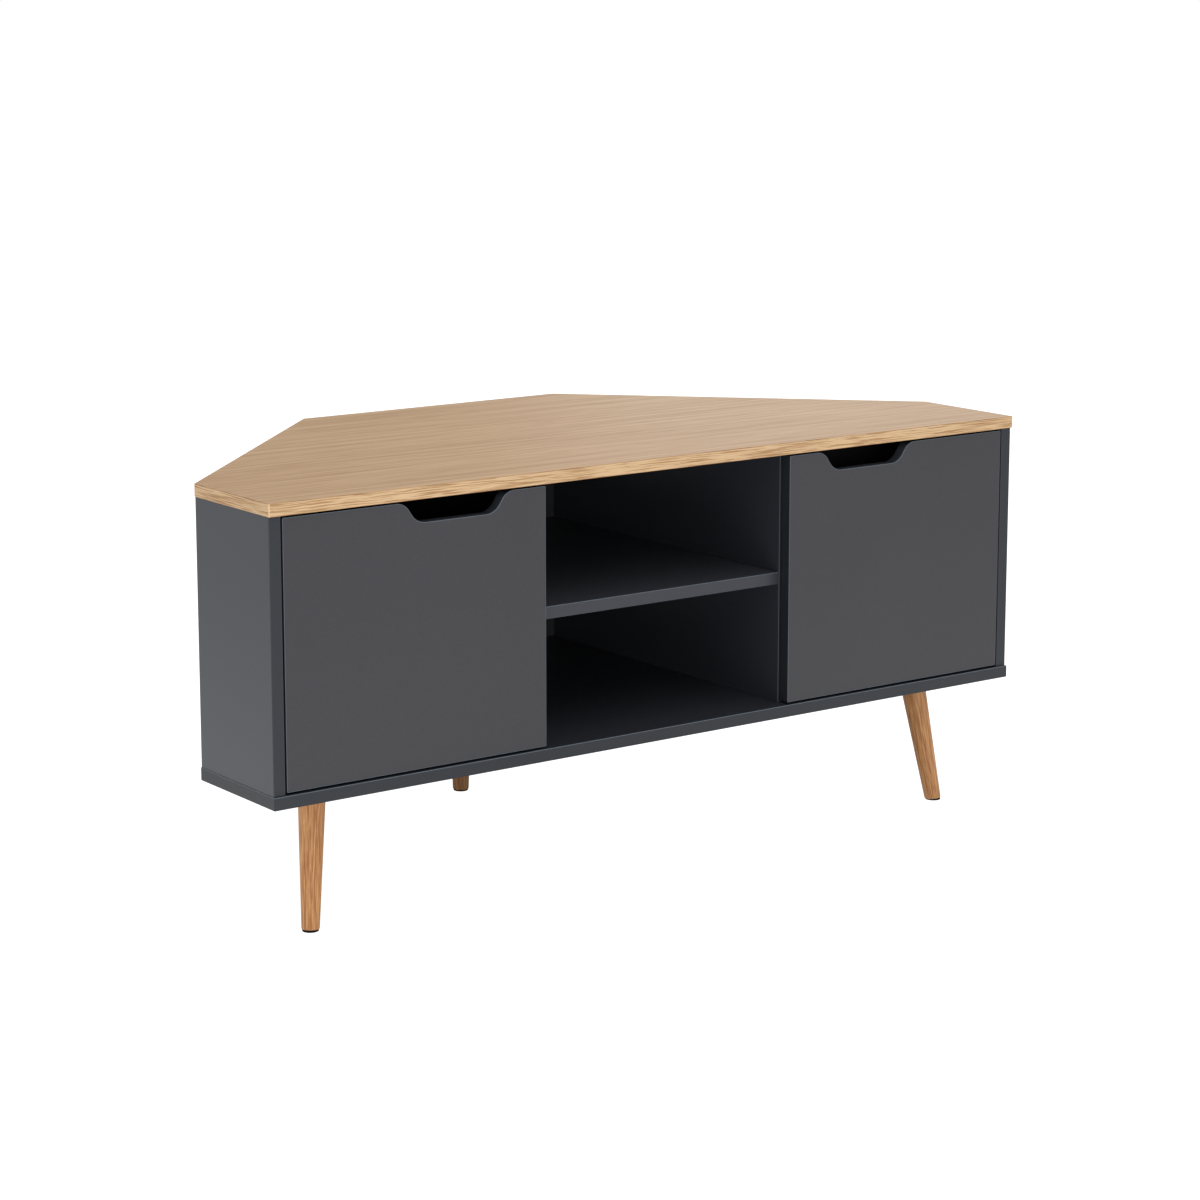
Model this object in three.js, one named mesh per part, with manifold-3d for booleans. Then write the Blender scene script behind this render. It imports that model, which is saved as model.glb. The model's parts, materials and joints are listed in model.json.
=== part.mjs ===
// Corner TV cabinet: a low, six-sided cabinet that stands across the corner of a room.
// Two hinged doors flank an open bay with one shelf, and three turned legs carry it.
// Sizes are in millimetres, +X is to the right, +Y to the back and +Z up.
// The origin is on the floor, under the middle of the cabinet's outline.

import * as THREE from 'three';
import { mergeVertices } from 'three/addons/utils/BufferGeometryUtils.js';
import Module from 'manifold-3d';

const wasm = await Module();
wasm.setup();

// Outline seen from above: a straight front, two short sides, two diagonals at 45 degrees and a back edge
const cabinetWidth = 1100;
const backEdgeWidth = 390;
const sideDepth = 165;
const cabinetDepth = sideDepth + (cabinetWidth - backEdgeWidth) / 2;
const frontY = -cabinetDepth / 2;
const backY = cabinetDepth / 2;

// Heights
const legHeight = 164;
const insideHeight = 313;
const boardThickness = 15;
const insideBottom = legHeight + boardThickness;
const insideTop = insideBottom + insideHeight;

// Clearances
const contactGap = 0.05;
const fitGap = 0.3;
const overrun = 2;

// Banded boards
const arris = 0.6;
const cornerRadius = 1.2;
const sideInset = 1;
const frontSetback = 3;
const sideOuterX = cabinetWidth / 2 - sideInset;
const sideInnerX = sideOuterX - boardThickness;
const dividerOuterX = backEdgeWidth / 2;
const dividerInnerX = dividerOuterX - boardThickness;
const dividerRearInset = 10;

// Thin back boards, let into grooves
const backThickness = 3;
const backInset = 16;
const centreBackInset = 20;
const grooveDepth = 6;
const centreBackFrontY = backY - centreBackInset - backThickness;
const cableHoleRadius = 25;

// Doors, inset between the side panels and covering the front edges of the dividers
const doorSideGap = 2;
const doorEndGap = 2.5;
const doorReveal = 2;
const doorBackGap = 1.5;
const doorOuterX = sideInnerX - doorSideGap;
const doorInnerX = dividerInnerX + doorReveal;
const doorWidth = doorOuterX - doorInnerX;
const doorHeight = insideHeight - 2 * doorEndGap;
const doorFrontY = frontY + frontSetback;
const dividerFrontY = doorFrontY + boardThickness + doorBackGap;

// Hand cut-out in the top edge of each door; its width is taken half way down
const cutoutWidth = 121.5;
const cutoutDepth = 24.5;
const cutoutFromFreeEdge = 123.5;
const cutoutSlope = THREE.MathUtils.degToRad(34);
const cutoutInnerRadius = 20;
const cutoutOuterRadius = 18;

// Rubber door stops
const bumperRadius = 4;
const bumperFromEnd = 30;

// Shelf in the open bay
const shelfSetback = 1.5;
const shelfEndGap = 0.5;
const shelfBackGap = 1;
const shelfBottom = insideBottom + (insideHeight - boardThickness) / 2;

// Shelf pins
const shelfPinRadius = 2.5;
const shelfPinReach = 8;
const shelfPinShares = [0.1, 0.85];

// Cam locks that draw the upright boards to the panels
const camRadius = 7.5;
const camDepth = 12;
const camFromEnd = 24;
const camSlotWidth = 2;
const camSlotLength = 10;
const camSlotDepth = 3;
const sideCamShares = [0.5];
const dividerCamShares = [0.12, 0.8];

// Pivot of a door: the square door edge swings past the side panel with the swing clearance left
const swingClearance = 0.33;
const swingGap = doorSideGap - swingClearance;
const pivotDepth = boardThickness / 2;
const pivotInset = (pivotDepth ** 2 - swingGap ** 2) / (2 * swingGap);
const swingRadius = Math.hypot(pivotInset, pivotDepth);
const pivotX = doorOuterX - pivotInset;
const pivotY = doorFrontY + pivotDepth;
const pivotToSide = pivotInset + doorSideGap;
const pivotToDoorBack = boardThickness - pivotDepth;

// Hinge cup, let into the back of a door
const hingeFromEnd = 60;
const pivotToCup = 6.5;
const cupRadius = 17.5;
const cupDepth = 11.5;
const cupWall = 0.8;
const cupRimRadius = 20;
const cupFlange = 1.2;
const cupWingLength = 60;
const cupWingWidth = 20;
const cupWingRadius = 4;
const cupScrewSpacing = 48;
const cupScrewHoleRadius = 2.2;

// Hinge pin and the arm's knuckle round it
const hingePinRadius = 1.5;
const knuckleRadius = 2.7;

// Hinge arm: a channel over the rail of its plate, then a neck that reaches round into the cup
const armSheet = 2.2;
const armWidth = 13;
const armFlange = 1.5;
const armSwingClearance = 1.8;
const armBend = 4;
const neckReach = 14;
const neckBend = 3;

// Hinge plate on the side panel
const plateBase = 2;
const plateRail = 7;
const plateRailWidth = 9;
const plateFromPivot = 29.5;
const plateLength = 38;
const plateBodyWidth = 16;
const plateWingLength = 48;
const plateWingWidth = 16;
const plateCornerRadius = 2;
const plateScrewSpacing = 32;
const plateScrewHoleRadius = 2.6;

// Legs: the front pair splays outwards and forwards, the rear one stands upright
const legTopRadius = 16.5;
const legFootRadius = 10.5;
const legChamfer = 1.2;
const frontLegSplay = THREE.MathUtils.degToRad(11);
const frontLegHeading = THREE.MathUtils.degToRad(-51.6);
const frontLegFromSide = 95.2;
const frontLegFromFront = 79.5;
const rearLegFromBack = 62;
const frontPadThickness = 1;
const rearPadThickness = 2;
const padRadius = legFootRadius - legChamfer;
const padPinRadius = 1.2;
const padPinLength = 12;

// Steel plate and bolt that fix a leg
const legPlateSize = 58;
const legPlateThickness = 2.5;
const legPlateRadius = 6;
const legPlateScrewSpacing = 42;
const legPlateScrewHoleRadius = 2.4;
const legBossRadius = 15;
const legBossHeight = 8;
const hangerBoltRadius = 4;
const hangerBoltGrip = 25;
const hangerBoltPoint = 5;

// Fineness of round faces: how far a facet may cut inside its curve, and the fewest facets of a circle
const facetSag = 0.15;
const fewestFacets = 12;

// Finishes
const oakFoil = new THREE.MeshStandardMaterial({ color: 0xc09f7d, roughness: 0.5, metalness: 0 });
const darkBoard = new THREE.MeshStandardMaterial({ color: 0x4d4f53, roughness: 0.45, metalness: 0 });
const oiledOak = new THREE.MeshStandardMaterial({ color: 0xb98c5f, roughness: 0.55, metalness: 0 });
const plainSteel = new THREE.MeshStandardMaterial({ color: 0xb5b7ba, roughness: 0.35, metalness: 1 });
const castZinc = new THREE.MeshStandardMaterial({ color: 0x9a9b9c, roughness: 0.5, metalness: 1 });
const blackPlastic = new THREE.MeshStandardMaterial({ color: 0x17171a, roughness: 0.6, metalness: 0 });
const clearRubber = new THREE.MeshStandardMaterial({ color: 0xc9ccce, roughness: 0.4, metalness: 0 });

const xAxis = new THREE.Vector3(1, 0, 0);
const yAxis = new THREE.Vector3(0, 1, 0);
const zAxis = new THREE.Vector3(0, 0, 1);

// Number of facets on an arc of a radius that turns through an angle.
function facets(radius, turn) {
  const step = 2 * Math.acos(1 - Math.min(facetSag / radius, 0.5));
  return Math.max(1, Math.ceil(turn / step));
}

function facetsAround(radius) {
  return Math.max(fewestFacets, 4 * facets(radius, Math.PI / 2));
}

// A manifold solid of a closed three.js geometry.
function solidOf(geometry) {
  const bare = geometry.clone();
  bare.deleteAttribute('normal');
  bare.deleteAttribute('uv');
  const merged = mergeVertices(bare, contactGap / 100);
  return new wasm.Manifold(new wasm.Mesh({
    numProp: 3,
    vertProperties: merged.attributes.position.array,
    triVerts: new Uint32Array(merged.index.array),
  }));
}

function geometryOf(solid) {
  const { vertProperties, triVerts } = solid.getMesh();
  const geometry = new THREE.BufferGeometry();
  geometry.setAttribute('position', new THREE.BufferAttribute(vertProperties, 3));
  geometry.setIndex(new THREE.BufferAttribute(triVerts, 1));
  geometry.computeVertexNormals();
  return geometry;
}

function cut(geometry, cutters) {
  const left = cutters.reduce((solid, cutter) => solid.subtract(solidOf(cutter)), solidOf(geometry));
  return geometryOf(left);
}

function join(geometries) {
  return geometryOf(geometries.map(solidOf).reduce((solid, next) => solid.add(next)));
}

// A closed outline through corners given as x, y and the radius that rounds each one.
function roundedShape(corners) {
  const points = corners.flatMap(({ x, y, radius }, i) => {
    const corner = new THREE.Vector2(x, y);
    if (!radius) return [corner];
    const before = corners.at(i - 1);
    const after = corners[(i + 1) % corners.length];
    const back = new THREE.Vector2(before.x, before.y).sub(corner).normalize();
    const ahead = new THREE.Vector2(after.x, after.y).sub(corner).normalize();
    const halfAngle = Math.acos(back.dot(ahead)) / 2;
    const middle = back.clone().add(ahead).normalize();
    const centre = middle.multiplyScalar(radius / Math.sin(halfAngle)).add(corner);
    const start = back.clone().multiplyScalar(radius / Math.tan(halfAngle)).add(corner).sub(centre);
    const turn = Math.PI - 2 * halfAngle;
    const side = -Math.sign(start.cross(back));
    const steps = facets(radius, turn);
    return Array.from({ length: steps + 1 }, (_, k) =>
      start.clone().rotateAround(new THREE.Vector2(), side * turn * k / steps).add(centre));
  });
  return new THREE.Shape(points);
}

// Corners of a rectangle between two opposite corners, all with one radius.
function rectangle(x0, y0, x1, y1, radius) {
  return [[x0, y0], [x1, y0], [x1, y1], [x0, y1]].map(([x, y]) => ({ x, y, radius }));
}

function extruded(shape, height) {
  return new THREE.ExtrudeGeometry(shape, { depth: height, bevelEnabled: false });
}

// A board of an outline, from zero up to its thickness, with both arrises eased.
function easedBoard(shape, thickness) {
  return new THREE.ExtrudeGeometry(shape, {
    depth: thickness - 2 * arris,
    bevelThickness: arris,
    bevelSize: arris,
    bevelOffset: -arris,
    bevelSegments: 1,
  }).translate(0, 0, arris);
}

// Turns a shape drawn in y and z, and extruded along its own z, so that it runs along x.
function alongX(geometry) {
  return geometry.applyMatrix4(new THREE.Matrix4().makeBasis(yAxis, zAxis, xAxis));
}

// Turns a shape drawn in x and z, and extruded along its own z, so that it runs forwards, along -y.
function alongFront(geometry) {
  return geometry.rotateX(Math.PI / 2);
}

// A solid turned about z, from a profile of radii and heights that starts and ends on the axis.
function turned(profile, around) {
  const points = profile.map(([radius, height]) => new THREE.Vector2(radius, height));
  return new THREE.LatheGeometry(points, around).rotateX(Math.PI / 2);
}

// A round bar along z between two heights.
function bar(radius, low, high) {
  return new THREE.CylinderGeometry(radius, radius, high - low, facetsAround(radius))
    .rotateX(Math.PI / 2)
    .translate(0, 0, (low + high) / 2);
}

function block(x0, y0, z0, x1, y1, z1) {
  return new THREE.BoxGeometry(x1 - x0, y1 - y0, z1 - z0)
    .translate((x0 + x1) / 2, (y0 + y1) / 2, (z0 + z1) / 2);
}

function piece(name, geometry, finish, x = 0, y = 0, z = 0) {
  const mesh = new THREE.Mesh(geometry, finish);
  mesh.name = name;
  mesh.position.set(x, y, z);
  return mesh;
}

function groupAt(x, y, z, children) {
  const group = new THREE.Group();
  group.position.set(x, y, z);
  group.add(...children);
  return group;
}

// Top and bottom panels

function panelShape() {
  const halfWidth = cabinetWidth / 2;
  const halfBack = backEdgeWidth / 2;
  const sideRearY = frontY + sideDepth;
  return roundedShape([
    [-halfWidth, frontY], [halfWidth, frontY], [halfWidth, sideRearY],
    [halfBack, backY], [-halfBack, backY], [-halfWidth, sideRearY],
  ].map(([x, y]) => ({ x, y, radius: cornerRadius })));
}

// Plan of the diagonal back board on the right. Its ends are mitred to lie along the upright boards.
function diagonalPlan(grow) {
  const depthAt = (x, inset) => backY - (x - dividerOuterX) - inset * Math.SQRT2;
  const outside = backInset - grow;
  const inside = backInset + backThickness + grow;
  const near = dividerOuterX + fitGap - grow;
  const far = sideInnerX - fitGap + grow;
  return [[near, inside], [far, inside], [far, outside], [near, outside]]
    .map(([x, inset]) => new THREE.Vector2(x, depthAt(x, inset)));
}

function mirrored(points) {
  return points.map(({ x, y }) => new THREE.Vector2(-x, y));
}

// Half the width of the centre back board, let into the dividers on both sides.
const centreBackHalf = dividerInnerX + grooveDepth - fitGap;

function centrePlan(grow) {
  const half = centreBackHalf + grow;
  const front = centreBackFrontY - grow;
  const rear = centreBackFrontY + backThickness + grow;
  return [[-half, front], [half, front], [half, rear], [-half, rear]]
    .map(([x, y]) => new THREE.Vector2(x, y));
}

function panelGrooves(low, high) {
  const right = diagonalPlan(fitGap);
  return [right, mirrored(right), centrePlan(fitGap)]
    .map((plan) => extruded(new THREE.Shape(plan), high - low).translate(0, 0, low));
}

function topPanel() {
  const panel = easedBoard(panelShape(), boardThickness);
  const grooved = cut(panel, panelGrooves(-overrun, grooveDepth));
  return piece('top_panel', grooved, oakFoil, 0, 0, insideTop);
}

function bottomPanel() {
  const panel = easedBoard(panelShape(), boardThickness);
  const grooved = cut(panel, panelGrooves(boardThickness - grooveDepth, boardThickness + overrun));
  return piece('bottom_panel', grooved, darkBoard, 0, 0, legHeight);
}

// Thin back boards

const backFoot = insideBottom - grooveDepth + fitGap;
const backHeight = insideHeight + 2 * (grooveDepth - fitGap);

function centreBackBoard() {
  const board = extruded(new THREE.Shape(centrePlan(0)), backHeight);
  const bayHeight = (insideHeight - boardThickness) / 2;
  const lowerMiddle = insideBottom + bayHeight / 2 - backFoot;
  const upperMiddle = lowerMiddle + bayHeight + boardThickness;
  const middleY = centreBackFrontY + backThickness / 2;
  const holes = [lowerMiddle, upperMiddle].map((z) => bar(cableHoleRadius, -overrun, overrun)
    .rotateX(Math.PI / 2)
    .scale(1, backThickness, 1)
    .translate(0, middleY, z));
  return piece('centre_back_board', cut(board, holes), darkBoard, 0, 0, backFoot);
}

function diagonalBackBoard(side) {
  const board = extruded(new THREE.Shape(diagonalPlan(0)), backHeight);
  return piece(`${side}_back_board`, board, darkBoard, 0, 0, backFoot);
}

// Upright boards and their cam locks

const uprightHeight = insideHeight - 2 * contactGap;
const camHeights = [camFromEnd, insideHeight - camFromEnd];

function uprightBoard(x0, y0, x1, y1) {
  return extruded(roundedShape(rectangle(x0, y0, x1, y1, arris)), uprightHeight)
    .translate(0, 0, insideBottom + contactGap);
}

// Places of the cams in an upright board, from its front and rear and the shares of its depth.
function camPlaces(front, rear, shares) {
  return shares.flatMap((share) => camHeights.map((height) => ({
    y: front + share * (rear - front),
    z: insideBottom + height,
  })));
}

// The hole for a cam, bored into a face that looks along +x or, with direction -1, along -x.
function camBore(x, y, z, direction) {
  return bar(camRadius + fitGap, -camDepth - fitGap, overrun)
    .rotateY(direction * Math.PI / 2)
    .translate(x, y, z);
}

// A cast cam with a cross slot in its face, which lies in the board's face.
function camLock(name, x, y, z, direction) {
  const half = camSlotLength / 2;
  const slot = camSlotWidth / 2;
  const body = bar(camRadius, -camDepth, 0);
  const cross = [
    block(-half, -slot, -camSlotDepth, half, slot, overrun),
    block(-slot, -half, -camSlotDepth, slot, half, overrun),
  ];
  const cam = piece(name, cut(body, cross), castZinc, x, y, z);
  cam.rotation.y = direction * Math.PI / 2;
  return cam;
}

function camLocks(board, x, places, direction) {
  return places.map(({ y, z }, i) => camLock(`${board}_cam_lock_${i + 1}`, x, y, z, direction));
}

function sidePanel(side) {
  const rearY = frontY + sideDepth;
  const places = camPlaces(doorFrontY, rearY, sideCamShares);
  const board = uprightBoard(sideInnerX, doorFrontY, sideOuterX, rearY);
  const bores = places.map(({ y, z }) => camBore(sideInnerX, y, z, -1));
  return [
    piece(`${side}_side_panel`, cut(board, bores), darkBoard),
    ...camLocks(`${side}_side`, sideInnerX, places, -1),
  ];
}

function divider(side) {
  const rearY = backY - dividerRearInset;
  const places = camPlaces(dividerFrontY, rearY, dividerCamShares);
  const board = uprightBoard(dividerInnerX, dividerFrontY, dividerOuterX, rearY);
  const camBores = places.map(({ y, z }) => camBore(dividerOuterX, y, z, 1));
  const groove = block(
    dividerInnerX - overrun, centreBackFrontY - fitGap, insideBottom - overrun,
    dividerInnerX + grooveDepth, centreBackFrontY + backThickness + fitGap, insideTop + overrun,
  );
  const pinBores = shelfPinPlaces().map(({ y, z }) =>
    bar(shelfPinRadius + fitGap, -overrun, shelfPinReach + fitGap)
      .rotateY(Math.PI / 2)
      .translate(dividerInnerX, y, z));
  return [
    piece(`${side}_divider`, cut(board, [...camBores, groove, ...pinBores]), darkBoard),
    ...camLocks(`${side}_divider`, dividerOuterX, places, 1),
  ];
}

// Shelf and its pins

const shelfFrontY = dividerFrontY + shelfSetback;
const shelfRearY = centreBackFrontY - shelfBackGap;

function shelfPinPlaces() {
  const z = shelfBottom - fitGap - shelfPinRadius;
  return shelfPinShares.map((share) => ({ y: shelfFrontY + share * (shelfRearY - shelfFrontY), z }));
}

function centreShelf() {
  const length = 2 * (dividerInnerX - shelfEndGap);
  const section = roundedShape(rectangle(shelfFrontY, 0, shelfRearY, boardThickness, arris));
  const board = alongX(extruded(section, length));
  return piece('centre_shelf', board, darkBoard, -length / 2, 0, shelfBottom);
}

function shelfPins(side) {
  return shelfPinPlaces().map(({ y, z }, i) => {
    const pin = piece(
      `${side}_shelf_pin_${i + 1}`, bar(shelfPinRadius, -shelfPinReach, shelfPinReach),
      plainSteel, dividerInnerX, y, z,
    );
    pin.rotation.y = Math.PI / 2;
    return pin;
  });
}

// Doors, drawn about the pivot: x runs to the side panel, y to the back and z up from the door's foot

const hingeHeights = [hingeFromEnd, doorHeight - hingeFromEnd];

function doorShape() {
  const edge = pivotInset;
  const freeEdge = pivotInset - doorWidth;
  const middle = freeEdge + cutoutFromFreeEdge;
  const lean = cutoutDepth / 2 * Math.tan(cutoutSlope);
  const topHalf = cutoutWidth / 2 + lean;
  const lowHalf = cutoutWidth / 2 - lean;
  const cutoutBottom = doorHeight - cutoutDepth;
  return roundedShape([
    { x: freeEdge, y: 0, radius: cornerRadius },
    { x: edge, y: 0, radius: cornerRadius },
    { x: edge, y: doorHeight, radius: cornerRadius },
    { x: middle + topHalf, y: doorHeight, radius: cutoutOuterRadius },
    { x: middle + lowHalf, y: cutoutBottom, radius: cutoutInnerRadius },
    { x: middle - lowHalf, y: cutoutBottom, radius: cutoutInnerRadius },
    { x: middle - topHalf, y: doorHeight, radius: cutoutOuterRadius },
    { x: freeEdge, y: doorHeight, radius: cornerRadius },
  ]);
}

function door(side) {
  const board = alongFront(easedBoard(doorShape(), boardThickness)).translate(0, pivotToDoorBack, 0);
  const bores = hingeHeights.map((z) => bar(cupRadius + fitGap, -overrun, cupDepth + fitGap)
    .rotateX(Math.PI / 2)
    .translate(-pivotToCup, pivotToDoorBack, z));
  return piece(`${side}_door`, cut(board, bores), darkBoard);
}

function doorBumpers(side) {
  const x = (doorInnerX + dividerOuterX) / 2 - pivotX;
  const thickness = doorBackGap - fitGap;
  return ['lower', 'upper'].map((level, i) => {
    const z = [bumperFromEnd, doorHeight - bumperFromEnd][i];
    const bumper = piece(
      `${side}_${level}_door_bumper`, bar(bumperRadius, contactGap, thickness),
      clearRubber, x, pivotToDoorBack, z,
    );
    bumper.rotation.x = -Math.PI / 2;
    return bumper;
  });
}

// Concealed hinges, drawn about the pivot as the doors are, with z zero at the hinge's middle

function hingeCup(name, z) {
  const inner = cupRadius - cupWall;
  const seat = contactGap;
  const top = seat + cupFlange;
  const around = facetsAround(cupRadius);
  const bowl = turned([
    [0, -cupDepth], [cupRadius, -cupDepth], [cupRadius, seat], [cupRimRadius, seat],
    [cupRimRadius, top], [inner, top], [inner, cupWall - cupDepth], [0, cupWall - cupDepth],
  ], around);
  const wings = roundedShape(rectangle(
    -cupWingWidth / 2, -cupWingLength / 2, cupWingWidth / 2, cupWingLength / 2, cupWingRadius,
  ));
  const wingHoles = [-1, 1].map((end) => bar(cupScrewHoleRadius, -overrun, top + overrun)
    .translate(0, end * cupScrewSpacing / 2, 0));
  const mouth = bar((inner + cupRimRadius) / 2, -overrun, top + overrun);
  const flange = cut(extruded(wings, cupFlange).translate(0, 0, seat), [...wingHoles, mouth]);
  const cup = piece(name, join([bowl, flange]), plainSteel, -pivotToCup, pivotToDoorBack, z);
  cup.rotation.x = -Math.PI / 2;
  return cup;
}

// The pin ends just inside the cup's round wall.
function hingePin(name, z) {
  const half = Math.sqrt((cupRadius - cupWall) ** 2 - (pivotToCup + hingePinRadius) ** 2) - fitGap;
  return piece(name, bar(hingePinRadius, -half, half), plainSteel, 0, 0, z);
}

// Outline of a bent strip of even thickness along a path of points.
function stripShape(path, thickness) {
  const sideOf = (offset) => path.map((point, i) => {
    const before = path[Math.max(i - 1, 0)];
    const after = path[Math.min(i + 1, path.length - 1)];
    const into = point.clone().sub(before).normalize();
    const out = after.clone().sub(point).normalize();
    const way = into.add(out).normalize();
    const run = i > 0 ? point.clone().sub(before).normalize() : way;
    return new THREE.Vector2(-way.y, way.x).multiplyScalar(offset / way.dot(run)).add(point);
  });
  return new THREE.Shape([...sideOf(thickness / 2), ...sideOf(-thickness / 2).reverse()]);
}

const railFaceX = pivotToSide - plateBase - plateRail;
const plateRearY = plateFromPivot + plateLength;

function hingeArm(name, z) {
  const half = armWidth / 2;
  const webX = railFaceX - fitGap - armSheet / 2;
  const crossY = swingRadius + armSwingClearance + armSheet / 2;
  const path = [
    [webX, plateRearY], [webX, crossY + armBend], [webX - armBend, crossY],
    [armBend - neckReach, crossY], [-neckReach, crossY - armBend],
    [-neckReach, neckBend], [neckBend - neckReach, 0], [0, 0],
  ].map(([x, y]) => new THREE.Vector2(x, y));
  const strip = extruded(stripShape(path, armSheet), armWidth).translate(0, 0, -half);
  const flangeEndX = pivotToSide - plateBase - fitGap;
  const flanges = [-half, half - armFlange].map((low) => block(
    webX, plateFromPivot, low, flangeEndX, plateRearY, low + armFlange,
  ));
  const knuckle = bar(knuckleRadius, -half, half);
  const eye = bar(hingePinRadius + fitGap, -half - overrun, half + overrun);
  return piece(name, cut(join([strip, ...flanges, knuckle]), [eye]), plainSteel, 0, 0, z);
}

function hingePlate(name, z) {
  const bodyHalf = plateBodyWidth / 2;
  const wingHalf = plateWingLength / 2;
  const middleY = plateFromPivot + plateLength / 2;
  const wingFront = middleY - plateWingWidth / 2;
  const wingRear = middleY + plateWingWidth / 2;
  const outline = roundedShape([
    [plateFromPivot, -bodyHalf], [wingFront, -bodyHalf], [wingFront, -wingHalf],
    [wingRear, -wingHalf], [wingRear, -bodyHalf], [plateRearY, -bodyHalf],
    [plateRearY, bodyHalf], [wingRear, bodyHalf], [wingRear, wingHalf],
    [wingFront, wingHalf], [wingFront, bodyHalf], [plateFromPivot, bodyHalf],
  ].map(([x, y]) => ({ x, y, radius: plateCornerRadius })));
  const baseX = pivotToSide - plateBase;
  const base = alongX(extruded(outline, plateBase - contactGap)).translate(baseX, 0, 0);
  const rail = block(
    railFaceX, plateFromPivot, -plateRailWidth / 2, baseX + contactGap, plateRearY, plateRailWidth / 2,
  );
  const holes = [-1, 1].map((end) => bar(plateScrewHoleRadius, -overrun, plateBase + overrun)
    .rotateY(Math.PI / 2)
    .translate(baseX, middleY, end * plateScrewSpacing / 2));
  return piece(name, cut(join([base, rail]), holes), plainSteel, 0, 0, z);
}

function doorUnit(side) {
  const levels = ['lower', 'upper'];
  const moving = levels.flatMap((level, i) => [
    hingeCup(`${side}_${level}_hinge_cup`, hingeHeights[i]),
    hingePin(`${side}_${level}_hinge_pin`, hingeHeights[i]),
  ]);
  const fixed = levels.flatMap((level, i) => [
    hingeArm(`${side}_${level}_hinge_arm`, hingeHeights[i]),
    hingePlate(`${side}_${level}_hinge_plate`, hingeHeights[i]),
  ]);
  const children = [door(side), ...doorBumpers(side), ...moving, ...fixed];
  return groupAt(pivotX, pivotY, insideBottom + doorEndGap, children);
}

// Legs, drawn from the point where their axis meets the bottom panel, with z up along that axis

// Distance down the axis to the end of the wood, which clears the floor by the thinnest part of its pad.
function legLength(splay, padThickness) {
  const rise = padThickness + fitGap + padRadius * Math.sin(splay);
  return (legHeight - rise) / Math.cos(splay);
}

function legWood(name, length) {
  const top = -legBossHeight - fitGap;
  const radiusAt = (z) => legTopRadius + (legFootRadius - legTopRadius) * -z / length;
  const boltHole = hangerBoltRadius + fitGap;
  const pinHole = padPinRadius + fitGap;
  return piece(name, turned([
    [0, fitGap + padPinLength - length], [pinHole, fitGap + padPinLength - length],
    [pinHole, -length], [radiusAt(-length) - legChamfer, -length],
    [radiusAt(legChamfer - length), legChamfer - length],
    [radiusAt(top - legChamfer), top - legChamfer], [radiusAt(top) - legChamfer, top],
    [boltHole, top], [boltHole, top - hangerBoltGrip - fitGap], [0, top - hangerBoltGrip - fitGap],
  ], facetsAround(legTopRadius)), oiledOak);
}

function hangerBolt(name, splay) {
  const top = -contactGap - hangerBoltRadius * Math.sin(splay) - fitGap;
  const point = -legBossHeight - fitGap - hangerBoltGrip;
  return piece(name, turned([
    [0, point], [hangerBoltRadius, point + hangerBoltPoint], [hangerBoltRadius, top], [0, top],
  ], facetsAround(hangerBoltRadius)), plainSteel);
}

// The pad is turned with its nail and cut off level at the floor.
function glide(name, length, splay) {
  const reach = legHeight / Math.cos(splay) + padRadius + overrun;
  const pad = turned([
    [0, -reach], [padRadius, -reach], [padRadius, -length - fitGap],
    [padPinRadius, -length - fitGap], [padPinRadius, padPinLength - length], [0, padPinLength - length],
  ], facetsAround(padRadius));
  const ground = block(-reach, -reach, -reach, reach, reach, 0)
    .rotateY(splay)
    .translate(0, 0, -legHeight / Math.cos(splay));
  return piece(name, cut(pad, [ground]), blackPlastic);
}

// A flat steel plate with a threaded boss that leans as the leg does.
function legPlate(name, splay) {
  const half = legPlateSize / 2;
  const hole = hangerBoltRadius + fitGap;
  const flat = extruded(roundedShape(rectangle(-half, -half, half, half, legPlateRadius)), legPlateThickness)
    .translate(0, 0, -legPlateThickness);
  const boss = bar(legBossRadius, -legBossHeight, legBossRadius * Math.sin(splay)).rotateY(-splay);
  const above = block(-half, -half, -contactGap, half, half, half);
  const boltHole = bar(hole, -legBossHeight - overrun, hole + overrun).rotateY(-splay);
  const screwHoles = [-1, 1].flatMap((i) => [-1, 1].map((j) =>
    bar(legPlateScrewHoleRadius, -legPlateThickness - overrun, overrun)
      .translate(i * legPlateScrewSpacing / 2, j * legPlateScrewSpacing / 2, 0)));
  return piece(name, cut(join([flat, boss]), [above, boltHole, ...screwHoles]), plainSteel);
}

// A leg leans by its splay towards its heading, an angle from +X seen from above.
function legUnit(name, x, y, splay, heading, padThickness) {
  const length = legLength(splay, padThickness);
  const leaning = groupAt(0, 0, 0, [
    legWood(`${name}_leg`, length),
    hangerBolt(`${name}_hanger_bolt`, splay),
    glide(`${name}_glide`, length, splay),
  ]);
  leaning.rotation.y = -splay;
  const unit = groupAt(x, y, legHeight, [legPlate(`${name}_leg_plate`, splay), leaning]);
  unit.rotation.z = heading;
  return unit;
}

// Everything that the cabinet has once on each side, drawn for the right and mirrored for the left

function sideUnit(side) {
  const legX = cabinetWidth / 2 - frontLegFromSide;
  const legY = frontY + frontLegFromFront;
  const unit = new THREE.Group();
  unit.add(
    ...sidePanel(side),
    ...divider(side),
    diagonalBackBoard(side),
    ...shelfPins(side),
    doorUnit(side),
    legUnit(`front_${side}`, legX, legY, frontLegSplay, frontLegHeading, frontPadThickness),
  );
  unit.scale.x = side === 'left' ? -1 : 1;
  return unit;
}

const cabinet = new THREE.Group();
cabinet.add(
  topPanel(),
  bottomPanel(),
  centreBackBoard(),
  centreShelf(),
  sideUnit('left'),
  sideUnit('right'),
  legUnit('rear', 0, backY - rearLegFromBack, 0, 0, rearPadThickness),
);

export default cabinet;
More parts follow.
